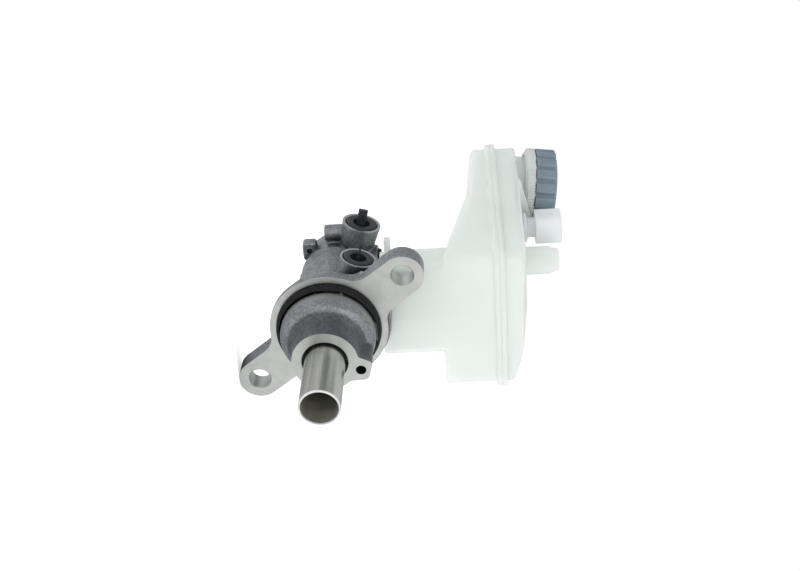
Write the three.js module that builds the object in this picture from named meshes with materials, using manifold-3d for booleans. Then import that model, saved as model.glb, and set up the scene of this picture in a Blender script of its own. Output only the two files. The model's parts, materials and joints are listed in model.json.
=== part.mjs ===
// Tandem brake master cylinder with its fluid reservoir, in millimetres.
// Origin: centre of the flange's booster face, on the bore axis.
// +Y runs forward along the bore, -Y is the pushrod side, +Z is up towards the filler cap.
import * as THREE from 'three';
import { mergeVertices } from 'three/addons/utils/BufferGeometryUtils.js';
import Module from 'manifold-3d';

const wasm = await Module();
wasm.setup();

// ---------- driving dimensions ----------
const RUN_GAP = 0.08;            // running clearance of a piston in the bore
const FIT_GAP = 0.1;             // clearance between pieces that are pushed together

const BORE_R = 9.525;            // nominal 3/4 inch bore
const BORE_END_Y = 68.5;
const BARREL_R = 14.3;
const BARREL_END_Y = 73.5;
const BARREL_REAR_R = 16.4;      // thicker wall between the flange and the step
const BARREL_WAIST_R = 14.2;     // right behind the flange
const BARREL_STEP_Y = 48;
const NOSE_Y = -27;              // front face of the nose that enters the booster
const NOSE_R = 14.6;
const MOUTH_R = 10.05;
const PILOT_R = 20.5;
const LIP_R = 21.4;              // lip that keeps the O-ring on the nose

const FLANGE_T = 10;
const FLANGE_R = 26.8;
const FLANGE_RIM_T = 3.2;        // the disc steps in behind this rim, the ears do not
const FLANGE_BACK_R = 24.3;
const EAR_R = 9.65;
const EAR_OFFSET = 43;           // bolt hole distance from the bore axis
const EAR_ANGLE = 36.5;          // degrees from +Z towards -X
const BOLT_HOLE_R = 5;

const STEM_R = 8.9;              // rear tube of the primary piston
const STEM_BORE_R = 7.7;
const STEM_END_Y = -60.8;
const PISTON_R = BORE_R - RUN_GAP;
const SHOULDER_Y = -20.6;        // the piston's shoulder rests on the guide bush here
const CLIP_Y = -26.3;
const CLIP_T = 1.2;
const CLIP_GROOVE_R = 11.1;
const O_RING_R = 1.5;            // half height of its oval section
const O_RING_HALF_W = 2.2;       // half width of the section along the bore
const O_RING_SEAT = 0.8;         // depth of the recess it sits in
const O_RING_ROOM = 3.4;         // width of that recess outside the pilot

const SPRING_ROOM_R = 7.4;       // both pistons are hollow for the springs
const SCREW_R = 1.7;
const SCREW_HEAD_R = 3.1;
const SEAL_GROOVE_R = 12;
const SEAL_GROOVE_W = 4;
const SEAL_STARTS = { vacuum: -15, primary: 15, pressure: 34, secondary: 48.5 };

const OUTLET_TILT = 15;          // degrees from -X towards +Z
const OUTLET_FACE = { x: -24, z: 14.2 };
const OUTLETS = {
  rear: { y: 21.5, bossR: 8.4, baseR: 8.2, seatR: 7.1, portR: 4.9 },
  front: { y: 56, bossR: 9.3, baseR: 7.7, seatR: 7.6, portR: 5.2 },
};

const NECKS = { rear: 20.5, front: 53 };   // reservoir neck positions along the bore
const NECK_R = 6.6;
const NECK_BORE_R = 4.6;
const POCKET_R = 9.2;
const SADDLE_R = 11.8;
const SADDLE_TOP_Z = 21;
const POCKET_FLOOR_Z = 14;

const WALL = 2.2;                // reservoir wall
const SEAM_Z = 78;
const LID_Z = 90.5;
const RIM_OUT = 2.4;
const RIM_T = 2.4;               // of each half, above and below the seam
const PEDESTAL_FLOOR_Z = 23.5;

const CAP_CENTRE = { x: -18.5, y: 95 };
const CAP_TILT = 8;              // degrees, the filler neck leans towards +X
const TOWER_R = 21;
const CAP_R = 21.4;
const CAP_RIDGES = 18;
const FILLER_BORE_R = 14.5;
const FILLER_R = 16.8;
const FILLER_TOP = 8.2;          // above the lid, along the leaning axis

const SWITCH = { x: -14, y: 62 };        // level switch, its stem carries the float
const TERMINAL_OFFSET = 2.6;
const NIPPLE = { x: -5, y: 45 };         // outlet for a clutch hose
const LID_RIDGE = { y0: 70.6, y1: 73.1 };  // low wall between the switch and the filler

const PIN_R = 1.7;               // reservoir retaining pin
const PIN_Y = 36;
const PIN_Z = 20.5;

const SEGMENTS = 28;
const rad = THREE.MathUtils.degToRad;

// ---------- materials ----------
function material(color, roughness, metalness) {
  return new THREE.MeshStandardMaterial({ color, roughness, metalness });
}

const MATERIALS = {
  castAluminium: material(0x9aa0a4, 0.55, 0.9),
  steel: material(0xb5b3ac, 0.3, 1),
  anodised: material(0xa9adad, 0.35, 0.9),
  springSteel: material(0x8a8d90, 0.35, 1),
  blackRubber: material(0x17181a, 0.8, 0),
  blackPlastic: material(0x202225, 0.5, 0),
  milkyPlastic: material(0xe6ebe8, 0.4, 0),
  greyPlastic: material(0x7f93a3, 0.5, 0),
  floatFoam: material(0xd8c9a0, 0.8, 0),
  ferrite: material(0x3a3a3c, 0.5, 0.2),
  brass: material(0xb89a55, 0.35, 1),
};

// ---------- solids ----------
// A closed three.js geometry becomes a solid that can be joined and cut.
function toSolid(geometry) {
  const plain = geometry.index ? geometry.toNonIndexed() : geometry.clone();
  plain.deleteAttribute('normal');
  plain.deleteAttribute('uv');
  const merged = mergeVertices(plain, 1e-4);
  const triVerts = keepRealTriangles(merged.index.array);
  const vertProperties = new Float32Array(merged.attributes.position.array);
  const solid = new wasm.Manifold(new wasm.Mesh({ numProp: 3, vertProperties, triVerts }));
  return solid.volume() < 0 ? toSolid(turnedInsideOut(merged)) : solid;
}

function keepRealTriangles(index) {
  const kept = [];
  for (let i = 0; i < index.length; i += 3) {
    const [a, b, c] = [index[i], index[i + 1], index[i + 2]];
    if (a !== b && b !== c && c !== a) kept.push(a, b, c);
  }
  return new Uint32Array(kept);
}

function turnedInsideOut(geometry) {
  const flipped = geometry.clone();
  const index = Array.from(geometry.index.array);
  for (let i = 0; i < index.length; i += 3) {
    [index[i], index[i + 1]] = [index[i + 1], index[i]];
  }
  flipped.setIndex(index);
  return flipped;
}

function join(...solids) {
  return solids.reduce((whole, next) => whole.add(next));
}

function cut(solid, ...tools) {
  return tools.reduce((rest, tool) => rest.subtract(tool), solid);
}

function common(...solids) {
  return solids.reduce((shared, next) => shared.intersect(next));
}

function toGeometry(solid) {
  const mesh = solid.getMesh();
  const geometry = new THREE.BufferGeometry();
  geometry.setAttribute('position', new THREE.BufferAttribute(mesh.vertProperties.slice(), 3));
  geometry.setIndex(new THREE.BufferAttribute(mesh.triVerts.slice(), 1));
  geometry.computeVertexNormals();
  return geometry;
}

function box(x0, x1, y0, y1, z0, z1) {
  const geometry = new THREE.BoxGeometry(x1 - x0, y1 - y0, z1 - z0);
  geometry.translate((x0 + x1) / 2, (y0 + y1) / 2, (z0 + z1) / 2);
  return toSolid(geometry);
}

// Turned piece about the Y axis. The profile is a closed loop of [radius, y] points.
function turned(profile, segments = SEGMENTS) {
  const points = profile.map(([r, y]) => new THREE.Vector2(r, y));
  points.push(points[0].clone());
  return toSolid(new THREE.LatheGeometry(points, segments));
}

function ring(innerR, outerR, y0, y1, segments = SEGMENTS) {
  return turned([[innerR, y0], [outerR, y0], [outerR, y1], [innerR, y1]], segments);
}

function rod(radius, y0, y1, segments = SEGMENTS) {
  return turned([[0, y0], [radius, y0], [radius, y1], [0, y1]], segments);
}

function ovalRing(majorR, halfHeight, halfWidth, y) {
  const profile = [];
  for (let i = 0; i < 8; i += 1) {
    const a = (i / 8) * 2 * Math.PI;
    profile.push([majorR + halfHeight * Math.cos(a), y + halfWidth * Math.sin(a)]);
  }
  return turned(profile);
}

// Moves geometry made about the Y axis so that Y points along `direction` from `start`.
function aimed(solid, start, direction) {
  const turn = new THREE.Quaternion().setFromUnitVectors(
    new THREE.Vector3(0, 1, 0),
    new THREE.Vector3(...direction).normalize(),
  );
  const matrix = new THREE.Matrix4().compose(new THREE.Vector3(...start), turn, new THREE.Vector3(1, 1, 1));
  return solid.transform(matrix.toArray());
}

function rodBetween(radius, a, b, segments = 24) {
  const start = new THREE.Vector3(...a);
  const span = new THREE.Vector3(...b).sub(start);
  return aimed(rod(radius, 0, span.length(), segments), a, span.toArray());
}

function shapeOf(points) {
  return new THREE.Shape(points.map(([u, v]) => new THREE.Vector2(u, v)));
}

function extruded(points, depth) {
  return new THREE.ExtrudeGeometry(shapeOf(points), { depth, bevelEnabled: false, steps: 1 });
}

// Prisms: an [x, y] outline along Z, an [x, z] outline along Y, a [y, z] outline along X.
function prismZ(points, z0, z1) {
  const geometry = extruded(points, z1 - z0);
  geometry.translate(0, 0, z0);
  return toSolid(geometry);
}

function prismY(points, y0, y1) {
  const geometry = extruded(points, y1 - y0);
  geometry.rotateX(Math.PI / 2);
  geometry.translate(0, y1, 0);
  return toSolid(geometry);
}

function prismX(points, x0, x1) {
  const geometry = extruded(points, x1 - x0);
  geometry.applyMatrix4(new THREE.Matrix4().set(0, 0, 1, x0, 1, 0, 0, 0, 0, 1, 0, 0, 0, 0, 0, 1));
  return toSolid(geometry);
}

// Outline around a counter-clockwise ring of circles {x, y, r}: arcs joined by tangent lines.
function hullOutline(circles, inset = 0, stepDegrees = 12) {
  const discs = circles.map((c) => ({ ...c, r: Math.max(c.r - inset, 0.05) }));
  const count = discs.length;
  const normals = discs.map((a, i) => {
    const b = discs[(i + 1) % count];
    const span = Math.hypot(b.x - a.x, b.y - a.y);
    return Math.atan2(b.y - a.y, b.x - a.x) - Math.acos((a.r - b.r) / span);
  });
  const points = [];
  discs.forEach((disc, i) => {
    const from = normals[(i + count - 1) % count];
    let sweep = normals[i] - from;
    while (sweep < 0) sweep += 2 * Math.PI;
    while (sweep > 2 * Math.PI - 1e-6) sweep -= 2 * Math.PI;
    const steps = Math.max(1, Math.ceil(sweep / rad(stepDegrees)));
    for (let k = 0; k <= steps; k += 1) {
      const a = from + (sweep * k) / steps;
      points.push([disc.x + disc.r * Math.cos(a), disc.y + disc.r * Math.sin(a)]);
    }
  });
  return points;
}

// ---------- cylinder body ----------
const earDirection = [-Math.sin(rad(EAR_ANGLE)), Math.cos(rad(EAR_ANGLE))];
const earCentre = earDirection.map((c) => c * EAR_OFFSET);
const outletDirection = [-Math.cos(rad(OUTLET_TILT)), 0, Math.sin(rad(OUTLET_TILT))];

function outletPoint(outlet, distance) {
  return [
    OUTLET_FACE.x + outletDirection[0] * distance,
    outlet.y,
    OUTLET_FACE.z + outletDirection[2] * distance,
  ];
}

// Flange plan in [x, z]: a disc with two ears, blended by concave arcs.
function flangeOutline(discR, earR) {
  const filletR = 9;
  const alongAtBlend = Math.sqrt((discR + filletR) ** 2 - (earR + filletR) ** 2);
  const blendAngle = Math.asin((earR + filletR) / (discR + filletR));
  const half = [];
  const arc = (u, v, r, from, to, steps) => {
    for (let i = 0; i <= steps; i += 1) {
      const a = from + ((to - from) * i) / steps;
      half.push([u + r * Math.cos(a), v + r * Math.sin(a)]);
    }
  };
  // u runs towards the ear, v across it
  arc(alongAtBlend, -(earR + filletR), filletR, Math.PI - blendAngle, Math.PI / 2, 6);
  arc(EAR_OFFSET, 0, earR, -Math.PI / 2, Math.PI / 2, 12);
  arc(alongAtBlend, earR + filletR, filletR, -Math.PI / 2, -Math.PI + blendAngle, 6);
  arc(0, 0, discR, blendAngle + rad(6), Math.PI - blendAngle - rad(6), 12);
  const whole = [...half, ...half.map(([u, v]) => [-u, -v])];
  const [ex, ez] = earDirection;
  return whole.map(([u, v]) => [u * ex + v * ez, u * ez - v * ex]).reverse();
}

function noseTabOutline() {
  const towards = rad(17.4);
  const [ax, az] = [Math.sin(towards), Math.cos(towards)];
  const corner = (across, out, r) => ({ x: out * ax + across * az, y: out * az - across * ax, r });
  return hullOutline([
    corner(-5, 8, 2),
    corner(6.6, 8, 2),
    corner(2.4, 18, 2.3),
    corner(-3, 18, 2.3),
  ]);
}

function makeCylinderBody() {
  const barrel = turned([
    [0, NOSE_Y],
    [NOSE_R - 0.8, NOSE_Y],
    [NOSE_R, NOSE_Y + 0.8],
    [NOSE_R + 0.2, -18],
    [NOSE_R + 0.8, -15.4],
    [NOSE_R + 2.2, -14.2],
    [LIP_R - 2.2, -12],
    [LIP_R - 1.2, -9.8],
    [LIP_R, -6.4],
    [LIP_R, -4.1],
    [PILOT_R, -3.9],
    [PILOT_R, 1],
    [BARREL_WAIST_R, 1],
    [BARREL_WAIST_R, 13],
    [BARREL_REAR_R, 14.6],
    [BARREL_REAR_R, BARREL_STEP_Y],
    [BARREL_R, BARREL_STEP_Y + 1.2],
    [BARREL_R, BARREL_END_Y - 8],
    [BARREL_R - 1.6, BARREL_END_Y - 4],
    [BARREL_R - 4.4, BARREL_END_Y - 0.9],
    [BARREL_R - 7, BARREL_END_Y],
    [0, BARREL_END_Y],
  ]);
  const flange = join(
    prismY(flangeOutline(FLANGE_R, EAR_R - 0.6), 0, 1),
    prismY(flangeOutline(FLANGE_R, EAR_R), 0.6, FLANGE_RIM_T),
    prismY(flangeOutline(FLANGE_BACK_R, EAR_R), FLANGE_RIM_T - 0.5, FLANGE_T),
  );
  const noseTab = prismY(noseTabOutline(), NOSE_Y, -6);

  let casting = join(barrel, flange, noseTab);
  Object.values(OUTLETS).forEach((outlet) => {
    const boss = turned([[0, -20], [outlet.baseR, -20], [outlet.baseR, -15], [outlet.bossR, 0], [0, 0]]);
    casting = casting.add(aimed(boss, outletPoint(outlet, 0), outletDirection));
  });
  const outletBase = box(-15.5, 0, FLANGE_T - 0.5, OUTLETS.rear.y + 6, 3, 16);
  Object.values(NECKS).forEach((y) => {
    casting = casting.add(rodBetween(SADDLE_R, [0, y, 0], [0, y, SADDLE_TOP_Z]));
  });
  const pinLug = box(-4.6, 4.6, PIN_Y - 2.8, PIN_Y + 2.8, 0, PIN_Z + 3);
  const topLug = rodBetween(3.8, [-18.8, 58, -4.2], [-18.8, 58, 8], 20);
  const topLugWeb = box(-18.8, -8, 55.4, 60.6, -3.4, 8);
  const sideLug = prismY(hullOutline([
    { x: -14.4, y: -13.8, r: 1.4 },
    { x: -8, y: -13.8, r: 1.4 },
    { x: -8, y: -9.8, r: 1.4 },
    { x: -14.4, y: -9.8, r: 1.4 },
  ]), 52.6, 58.6);
  const keel = box(-2.2, 2.2, FLANGE_T - 1, 48, -17, 0);
  const backPad = common(rod(FLANGE_R + 1.5, 4.5, FLANGE_T), box(-7, 14, 4, FLANGE_T + 1, 20, 30));
  casting = join(casting, outletBase, pinLug, topLug, topLugWeb, sideLug, keel, backPad);

  casting = cut(
    casting,
    rod(BORE_R, NOSE_Y - 1, BORE_END_Y),
    rod(MOUTH_R, NOSE_Y - 1, SHOULDER_Y),
    ring(BORE_R - 2, CLIP_GROOVE_R, CLIP_Y, CLIP_Y + CLIP_T + 0.1),
    ring(PILOT_R, PILOT_R + O_RING_ROOM, -1, O_RING_SEAT),
  );
  Object.values(SEAL_STARTS).forEach((y) => {
    casting = casting.subtract(ring(BORE_R - 2, SEAL_GROOVE_R, y, y + SEAL_GROOVE_W));
  });
  [-1, 1].forEach((side) => {
    const [x, z] = earCentre.map((c) => c * side);
    casting = casting.subtract(rodBetween(BOLT_HOLE_R, [x, -1, z], [x, FLANGE_T + 1, z], 32));
  });
  Object.values(OUTLETS).forEach((outlet) => {
    casting = cut(
      casting,
      rodBetween(outlet.portR, outletPoint(outlet, -11), outletPoint(outlet, 1), 24),
      rodBetween(outlet.seatR, outletPoint(outlet, -1.4), outletPoint(outlet, 1), 24),
      rodBetween(1.8, outletPoint(outlet, -19), outletPoint(outlet, -10), 12),
    );
  });
  // each pocket feeds the bore just behind its cup seal
  const feeds = { rear: SEAL_STARTS.primary - 2.4, front: SEAL_STARTS.secondary - 2.2 };
  Object.entries(NECKS).forEach(([name, y]) => {
    casting = cut(
      casting,
      rodBetween(POCKET_R, [0, y, POCKET_FLOOR_Z], [0, y, SADDLE_TOP_Z + 1]),
      rodBetween(SADDLE_R - 1.3, [0, y, SADDLE_TOP_Z], [0, y, SADDLE_TOP_Z + 6]),
      rodBetween(1.7, [0, feeds[name], 6], [0, feeds[name], POCKET_FLOOR_Z + 1], 12),
    );
  });
  const tabHole = rodBetween(2.3, [4.8, NOSE_Y - 1, 15.3], [4.8, NOSE_Y + 8, 15.3], 16);
  const sideLugPit = rodBetween(1.5, [-11.8, 52, -11.8], [-11.8, 54, -11.8], 16);
  const pinHole = rodBetween(PIN_R + FIT_GAP, [-10, PIN_Y, PIN_Z], [10, PIN_Y, PIN_Z], 12);
  return cut(casting, tabHole, sideLugPit, pinHole);
}

// ---------- pistons, seals and springs ----------
function makePrimaryPiston() {
  const body = turned([
    [0, 0],
    [STEM_BORE_R - 0.8, 0],
    [STEM_BORE_R, -1],
    [STEM_BORE_R, STEM_END_Y],
    [STEM_R - 0.5, STEM_END_Y],
    [STEM_R, STEM_END_Y + 0.5],
    [STEM_R, SHOULDER_Y],
    [PISTON_R, SHOULDER_Y],
    [PISTON_R, 18.9],
    [PISTON_R - 0.4, 19.3],
    [SPRING_ROOM_R, 19.3],
    [SPRING_ROOM_R, 4],
    [0, 4],
  ]);
  return cut(body, rod(SCREW_R + FIT_GAP, 1.5, 5, 12));
}

function makeSecondaryPiston() {
  return turned([
    [0, 42.5],
    [SPRING_ROOM_R, 42.5],
    [SPRING_ROOM_R, 33.5],
    [PISTON_R - 0.4, 33.5],
    [PISTON_R, 33.9],
    [PISTON_R, 52.9],
    [PISTON_R - 0.4, 53.3],
    [SPRING_ROOM_R, 53.3],
    [SPRING_ROOM_R, 45],
    [0, 45],
  ]);
}

// Cup seal in a bore groove; its lips open towards +Y, or towards -Y when flipped.
function makeCupSeal(start, flipped) {
  const inner = PISTON_R + 0.06;
  const outer = SEAL_GROOVE_R - 0.15;
  const middle = (inner + outer) / 2;
  const lips = [
    [inner, 0.25],
    [outer, 0.25],
    [outer, 3.6],
    [outer - 0.7, 3.6],
    [middle, 1.6],
    [inner + 0.6, 3.6],
    [inner, 3.6],
  ];
  const along = flipped ? SEAL_GROOVE_W : 0;
  const way = flipped ? -1 : 1;
  const profile = lips.map(([r, y]) => [r, start + along + way * y]);
  return turned(profile);
}

// Closed coil of round wire about the Y axis.
function makeSpring(meanR, wireR, y0, y1, coils) {
  class Helix extends THREE.Curve {
    getPoint(t, target = new THREE.Vector3()) {
      const a = t * coils * 2 * Math.PI;
      return target.set(meanR * Math.cos(a), y0 + wireR + t * (y1 - y0 - 2 * wireR), meanR * Math.sin(a));
    }
  }
  const section = new THREE.Shape();
  for (let i = 0; i < 5; i += 1) {
    const a = (i / 5) * 2 * Math.PI;
    const point = [wireR * Math.cos(a), wireR * Math.sin(a)];
    if (i === 0) section.moveTo(...point);
    else section.lineTo(...point);
  }
  const options = { steps: Math.round(coils * 11), bevelEnabled: false, extrudePath: new Helix() };
  return toSolid(new THREE.ExtrudeGeometry(section, options));
}

function makeCaptiveScrew() {
  return turned([
    [0, 1.6],
    [SCREW_R, 1.6],
    [SCREW_R, 22.6],
    [SCREW_HEAD_R, 22.6],
    [SCREW_HEAD_R, 24.6],
    [0, 24.6],
  ], 12);
}

// Sleeve that slides over the captive screw and hooks behind its head.
function makeSpringSleeve() {
  const outer = SCREW_HEAD_R + 1;
  return turned([
    [SCREW_R + 0.35, 21.4],
    [outer, 21.4],
    [outer, 41.5],
    [SPRING_ROOM_R - 0.2, 41.5],
    [SPRING_ROOM_R - 0.2, 42.4],
    [SCREW_HEAD_R + 0.3, 42.4],
    [SCREW_HEAD_R + 0.3, 22.2],
    [SCREW_R + 0.35, 22.2],
  ], 24);
}

function makeRetainingClip() {
  const gap = box(-2.2, 2.2, CLIP_Y - 1, CLIP_Y + CLIP_T + 1, 0, 14);
  return cut(ring(9.3, CLIP_GROOVE_R - 0.15, CLIP_Y + 0.05, CLIP_Y + CLIP_T), gap);
}

function makeGuideBush() {
  const front = SHOULDER_Y - 0.05;
  const back = CLIP_Y + CLIP_T + 0.1;
  return turned([
    [STEM_R + 0.1, back],
    [MOUTH_R - FIT_GAP, back],
    [MOUTH_R - FIT_GAP, front],
    [STEM_R + 0.1, front],
  ]);
}

// ---------- outlet transit plugs ----------
function makeTransitPlug(outlet, withPullTab) {
  const stem = turned([
    [0, -7],
    [outlet.portR - 1, -7],
    [outlet.portR - 0.2, -5.5],
    [outlet.portR - 0.2, -1.35],
    [outlet.seatR - 0.25, -1.35],
    [outlet.seatR - 0.25, 0.2],
    [outlet.seatR - 1, 0.6],
    [0, 0.6],
  ], 24);
  const recess = rod(outlet.portR - 1.1, -4, 2, 20);
  const hollow = cut(stem, recess);
  const shape = withPullTab
    ? box(-0.9, 0.9, -5, 7.2, -1.9, 2.5)
    : turned([[0, -5], [0.75, -5], [0.35, 8], [0, 8]], 8);
  return join(hollow, shape);
}

// ---------- reservoir ----------
const tankPlan = [
  { x: 37, y: 16.5, r: 5.5 },
  { x: 30, y: 104, r: 12.5 },
  { x: CAP_CENTRE.x, y: CAP_CENTRE.y, r: TOWER_R },
  { x: -20.5, y: 18.5, r: 4.5 },
  { x: 4, y: 15, r: 4 },
];

// The underside climbs towards the front, so the fluid drains back to both necks: [y, z].
const UNDERSIDE = [[0, 50], [14, 52], [32, 56.5], [62, 65], [96, 68], [118, 73.5], [125, 75.5]];

function tankSide(inset) {
  const bottom = UNDERSIDE.map(([y, z]) => [y, z + inset]);
  const top = [
    [125, LID_Z - 6 - inset],
    [111, LID_Z - 1.5 - inset],
    [100, LID_Z - inset],
    [20, LID_Z - inset],
    [14, LID_Z - 1.2 - inset],
    [0, LID_Z - 6 - inset],
  ];
  return [...bottom, ...top];
}

// Cross-section in [x, z]: the lid falls away towards the +X side.
function tankSection(inset) {
  return [
    [-60, 40],
    [34, 40],
    [60 - inset, 66],
    [60 - inset, 78.5 - inset],
    [37, 84.5 - inset],
    [27, 87.5 - inset],
    [8, LID_Z - 0.6 - inset],
    [0, LID_Z + 5],
    [-60, LID_Z + 5],
  ];
}

function tankSolid(inset) {
  const plan = hullOutline(tankPlan, inset, 15);
  return common(
    prismZ(plan, 40, LID_Z + 10),
    prismX(tankSide(inset), -70, 70),
    prismY(tankSection(inset), -10, 130),
  );
}

function pedestalSolid(inset) {
  const plan = hullOutline([
    { x: 20, y: 15, r: 4 },
    { x: 20, y: 29, r: 4 },
    { x: -18, y: 29, r: 4 },
    { x: -18, y: 17.5, r: 4 },
    { x: 4, y: 15, r: 4 },
  ], inset, 30);
  return prismZ(plan, PEDESTAL_FLOOR_Z + inset, 62);
}

function seamRim(z0, z1) {
  const outer = prismZ(hullOutline(tankPlan, -RIM_OUT, 15), z0, z1);
  const inner = prismZ(hullOutline(tankPlan, WALL, 15), z0 - 1, z1 + 1);
  return cut(outer, inner);
}

function makeLowerShell() {
  const below = box(-80, 80, -20, 140, 0, SEAM_Z);
  const neckOuter = [
    rodBetween(NECK_R, [0, NECKS.rear, POCKET_FLOOR_Z + 1], [0, NECKS.rear, 26]),
    rodBetween(NECK_R, [0, NECKS.front, POCKET_FLOOR_Z + 1], [0, NECKS.front, 26]),
    rodBetween(NECK_R + 2.2, [0, NECKS.front, 24], [0, NECKS.front, 66]),
  ];
  const web = box(-1.2, 1.2, 31, 46, 33, 60);
  const latch = box(-18.5, -7, 46.5, 51, 24.5, 27.5);
  const forkTop = box(-7.6, 7.6, 32, 46, 27, 30);
  const forkSides = [-1, 1].map((side) => {
    const edges = [5 * side, 7.6 * side].sort((a, b) => a - b);
    return box(...edges, PIN_Y - 3.5, PIN_Y + 3.5, PIN_Z - 3.5, 28);
  });
  const outer = join(
    common(tankSolid(0), below),
    pedestalSolid(0),
    ...neckOuter,
    web,
    latch,
    forkTop,
    ...forkSides,
    seamRim(SEAM_Z - RIM_T, SEAM_Z),
  );
  const inner = join(
    common(tankSolid(WALL), box(-80, 80, -20, 140, 0, SEAM_Z + 1)),
    common(pedestalSolid(WALL), box(-80, 80, -20, 140, 0, 61)),
    rodBetween(NECK_BORE_R, [0, NECKS.rear, 5], [0, NECKS.rear, 30], 20),
    rodBetween(NECK_BORE_R, [0, NECKS.front, 5], [0, NECKS.front, 70], 20),
  );
  const pinHole = rodBetween(PIN_R + FIT_GAP, [-10, PIN_Y, PIN_Z], [10, PIN_Y, PIN_Z], 12);
  const partition = common(tankSolid(WALL / 2), box(-60, 60, 37.5, 39.3, 40, SEAM_Z - 8));
  return cut(join(cut(outer, inner), partition), pinHole);
}

// Pieces made about their own Z axis stand on this frame at the foot of the filler neck.
const fillerPlace = new THREE.Vector3(CAP_CENTRE.x, CAP_CENTRE.y, LID_Z);
const fillerLean = new THREE.Quaternion().setFromAxisAngle(new THREE.Vector3(0, 1, 0), rad(CAP_TILT));
const fillerMatrix = new THREE.Matrix4().compose(fillerPlace, fillerLean, new THREE.Vector3(1, 1, 1));

// A turned piece stood upright: its [radius, height] profile runs up the Z axis.
function upright(profile, segments = SEGMENTS) {
  return turned(profile, segments).rotate([90, 0, 0]);
}

function at(solid, x, y, z) {
  return solid.translate([x, y, z]);
}

function tube(innerR, outerR, z0, z1, segments = SEGMENTS) {
  return upright([[innerR, z0], [outerR, z0], [outerR, z1], [innerR, z1]], segments);
}

function makeUpperShell() {
  const above = box(-80, 80, -20, 140, SEAM_Z, 140);
  const outer = join(
    common(tankSolid(0), above),
    seamRim(SEAM_Z, SEAM_Z + RIM_T),
  );
  const cavity = common(tankSolid(WALL), box(-80, 80, -20, 140, SEAM_Z - 1, 140));
  const neck = tube(FILLER_BORE_R, FILLER_R, -3, FILLER_TOP).transform(fillerMatrix.toArray());
  const neckBore = upright([[0, -8], [FILLER_BORE_R, -8], [FILLER_BORE_R, 20], [0, 20]]);
  const nipple = at(upright([
    [0, -1.5],
    [6.7, -1.5],
    [6.7, 12.6],
    [5.8, 13.6],
    [5.3, 16.9],
    [0, 16.9],
  ], 20), NIPPLE.x, NIPPLE.y, LID_Z);
  const nippleBore = at(upright([[0, -6], [3.3, -6], [3.3, 20], [0, 20]], 16), NIPPLE.x, NIPPLE.y, LID_Z);
  const nippleRib = box(NIPPLE.x - 1.5, NIPPLE.x + 1.5, NIPPLE.y + 4, SWITCH.y - 8.5, LID_Z - 1, LID_Z + 13);
  const switchSeat = at(tube(4.6, 7.4, -3, 1, 24), SWITCH.x, SWITCH.y, LID_Z);
  const ridge = common(
    prismZ(hullOutline(tankPlan, 0.3, 15), LID_Z - 2, LID_Z + 8),
    prismY([
      [-40, LID_Z - 1.5],
      [2, LID_Z - 1.5],
      [1, LID_Z + 0.6],
      [-6, LID_Z + 5],
      [-17, LID_Z + 5.6],
      [-40, LID_Z - 0.2],
    ], LID_RIDGE.y0, LID_RIDGE.y1),
  );
  const switchHole = at(upright([[0, -8], [4.6, -8], [4.6, 5], [0, 5]], 24), SWITCH.x, SWITCH.y, LID_Z);
  return cut(
    join(cut(outer, cavity), neck, nipple, nippleRib, switchSeat, ridge),
    neckBore.transform(fillerMatrix.toArray()),
    nippleBore,
    switchHole,
  );
}

function makeGrommet() {
  return upright([
    [NECK_BORE_R + 0.4, 0.05],
    [POCKET_R - FIT_GAP, 0.05],
    [POCKET_R - FIT_GAP, SADDLE_TOP_Z - POCKET_FLOOR_Z + 0.05],
    [SADDLE_R - 1.6, SADDLE_TOP_Z - POCKET_FLOOR_Z + 0.05],
    [SADDLE_R - 2.2, SADDLE_TOP_Z - POCKET_FLOOR_Z + 1.6],
    [NECK_R + FIT_GAP, SADDLE_TOP_Z - POCKET_FLOOR_Z + 1.6],
    [NECK_R + FIT_GAP, 0.9],
    [NECK_BORE_R + 0.4, 0.9],
  ], 28);
}

// Connector shroud on top, reed stem below; made about the stem with z = 0 on the lid's seat.
function makeLevelSwitch() {
  const shroudPlan = (inset) => hullOutline([
    { x: 3.4, y: -5.2, r: 3 },
    { x: 3.4, y: 5.2, r: 3 },
    { x: -4, y: 5.2, r: 3 },
    { x: -4, y: -5.2, r: 3 },
  ], inset, 15);
  const shroud = cut(
    prismZ(shroudPlan(0), 7, 19.5),
    prismZ(shroudPlan(1.4), 8.4, 21),
    box(-8, -4, -1, 1, 13, 15.5),
  );
  const stem = upright([
    [0, -22.4],
    [3.9, -22.4],
    [3.9, -21.4],
    [3, -21],
    [3, -4.2],
    [4.4, -3.8],
    [4.4, 1.2],
    [7.2, 1.35],
    [7.2, 2.8],
    [4.8, 3.4],
    [4.8, 7.2],
    [0, 7.2],
  ], 20);
  const slots = [-1, 1].map((side) => {
    const y = side * TERMINAL_OFFSET;
    return box(-1.5, 1.5, y - 0.5, y + 0.5, 2, 9);
  });
  return cut(join(shroud, stem), ...slots);
}

function makeTerminal() {
  const blade = [[-1.3, 0], [1.3, 0], [1.3, 10.4], [0.8, 11.4], [-0.8, 11.4], [-1.3, 10.4]];
  return prismY(blade, -0.35, 0.35);
}

function makeFloat() {
  const body = tube(3.4, 9.8, 0, 7, 24);
  return cut(body, tube(3, 5.7, -1, 2.6, 20));
}

function makeFilterBasket() {
  const cup = upright([
    [0, -5],
    [13.2, -5],
    [13.9, -4.3],
    [13.9, FILLER_TOP + 0.3],
    [16.5, FILLER_TOP + 0.3],
    [16.5, FILLER_TOP + 1.2],
    [12.9, FILLER_TOP + 1.2],
    [12.9, -4],
    [0, -4],
  ], 24);
  const slots = [];
  for (let i = 0; i < 4; i += 1) {
    slots.push(box(-20, 20, -2, 2, -2, 7).rotate([0, 0, 22.5 + i * 45]));
  }
  return cut(cup, ...slots);
}

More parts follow.
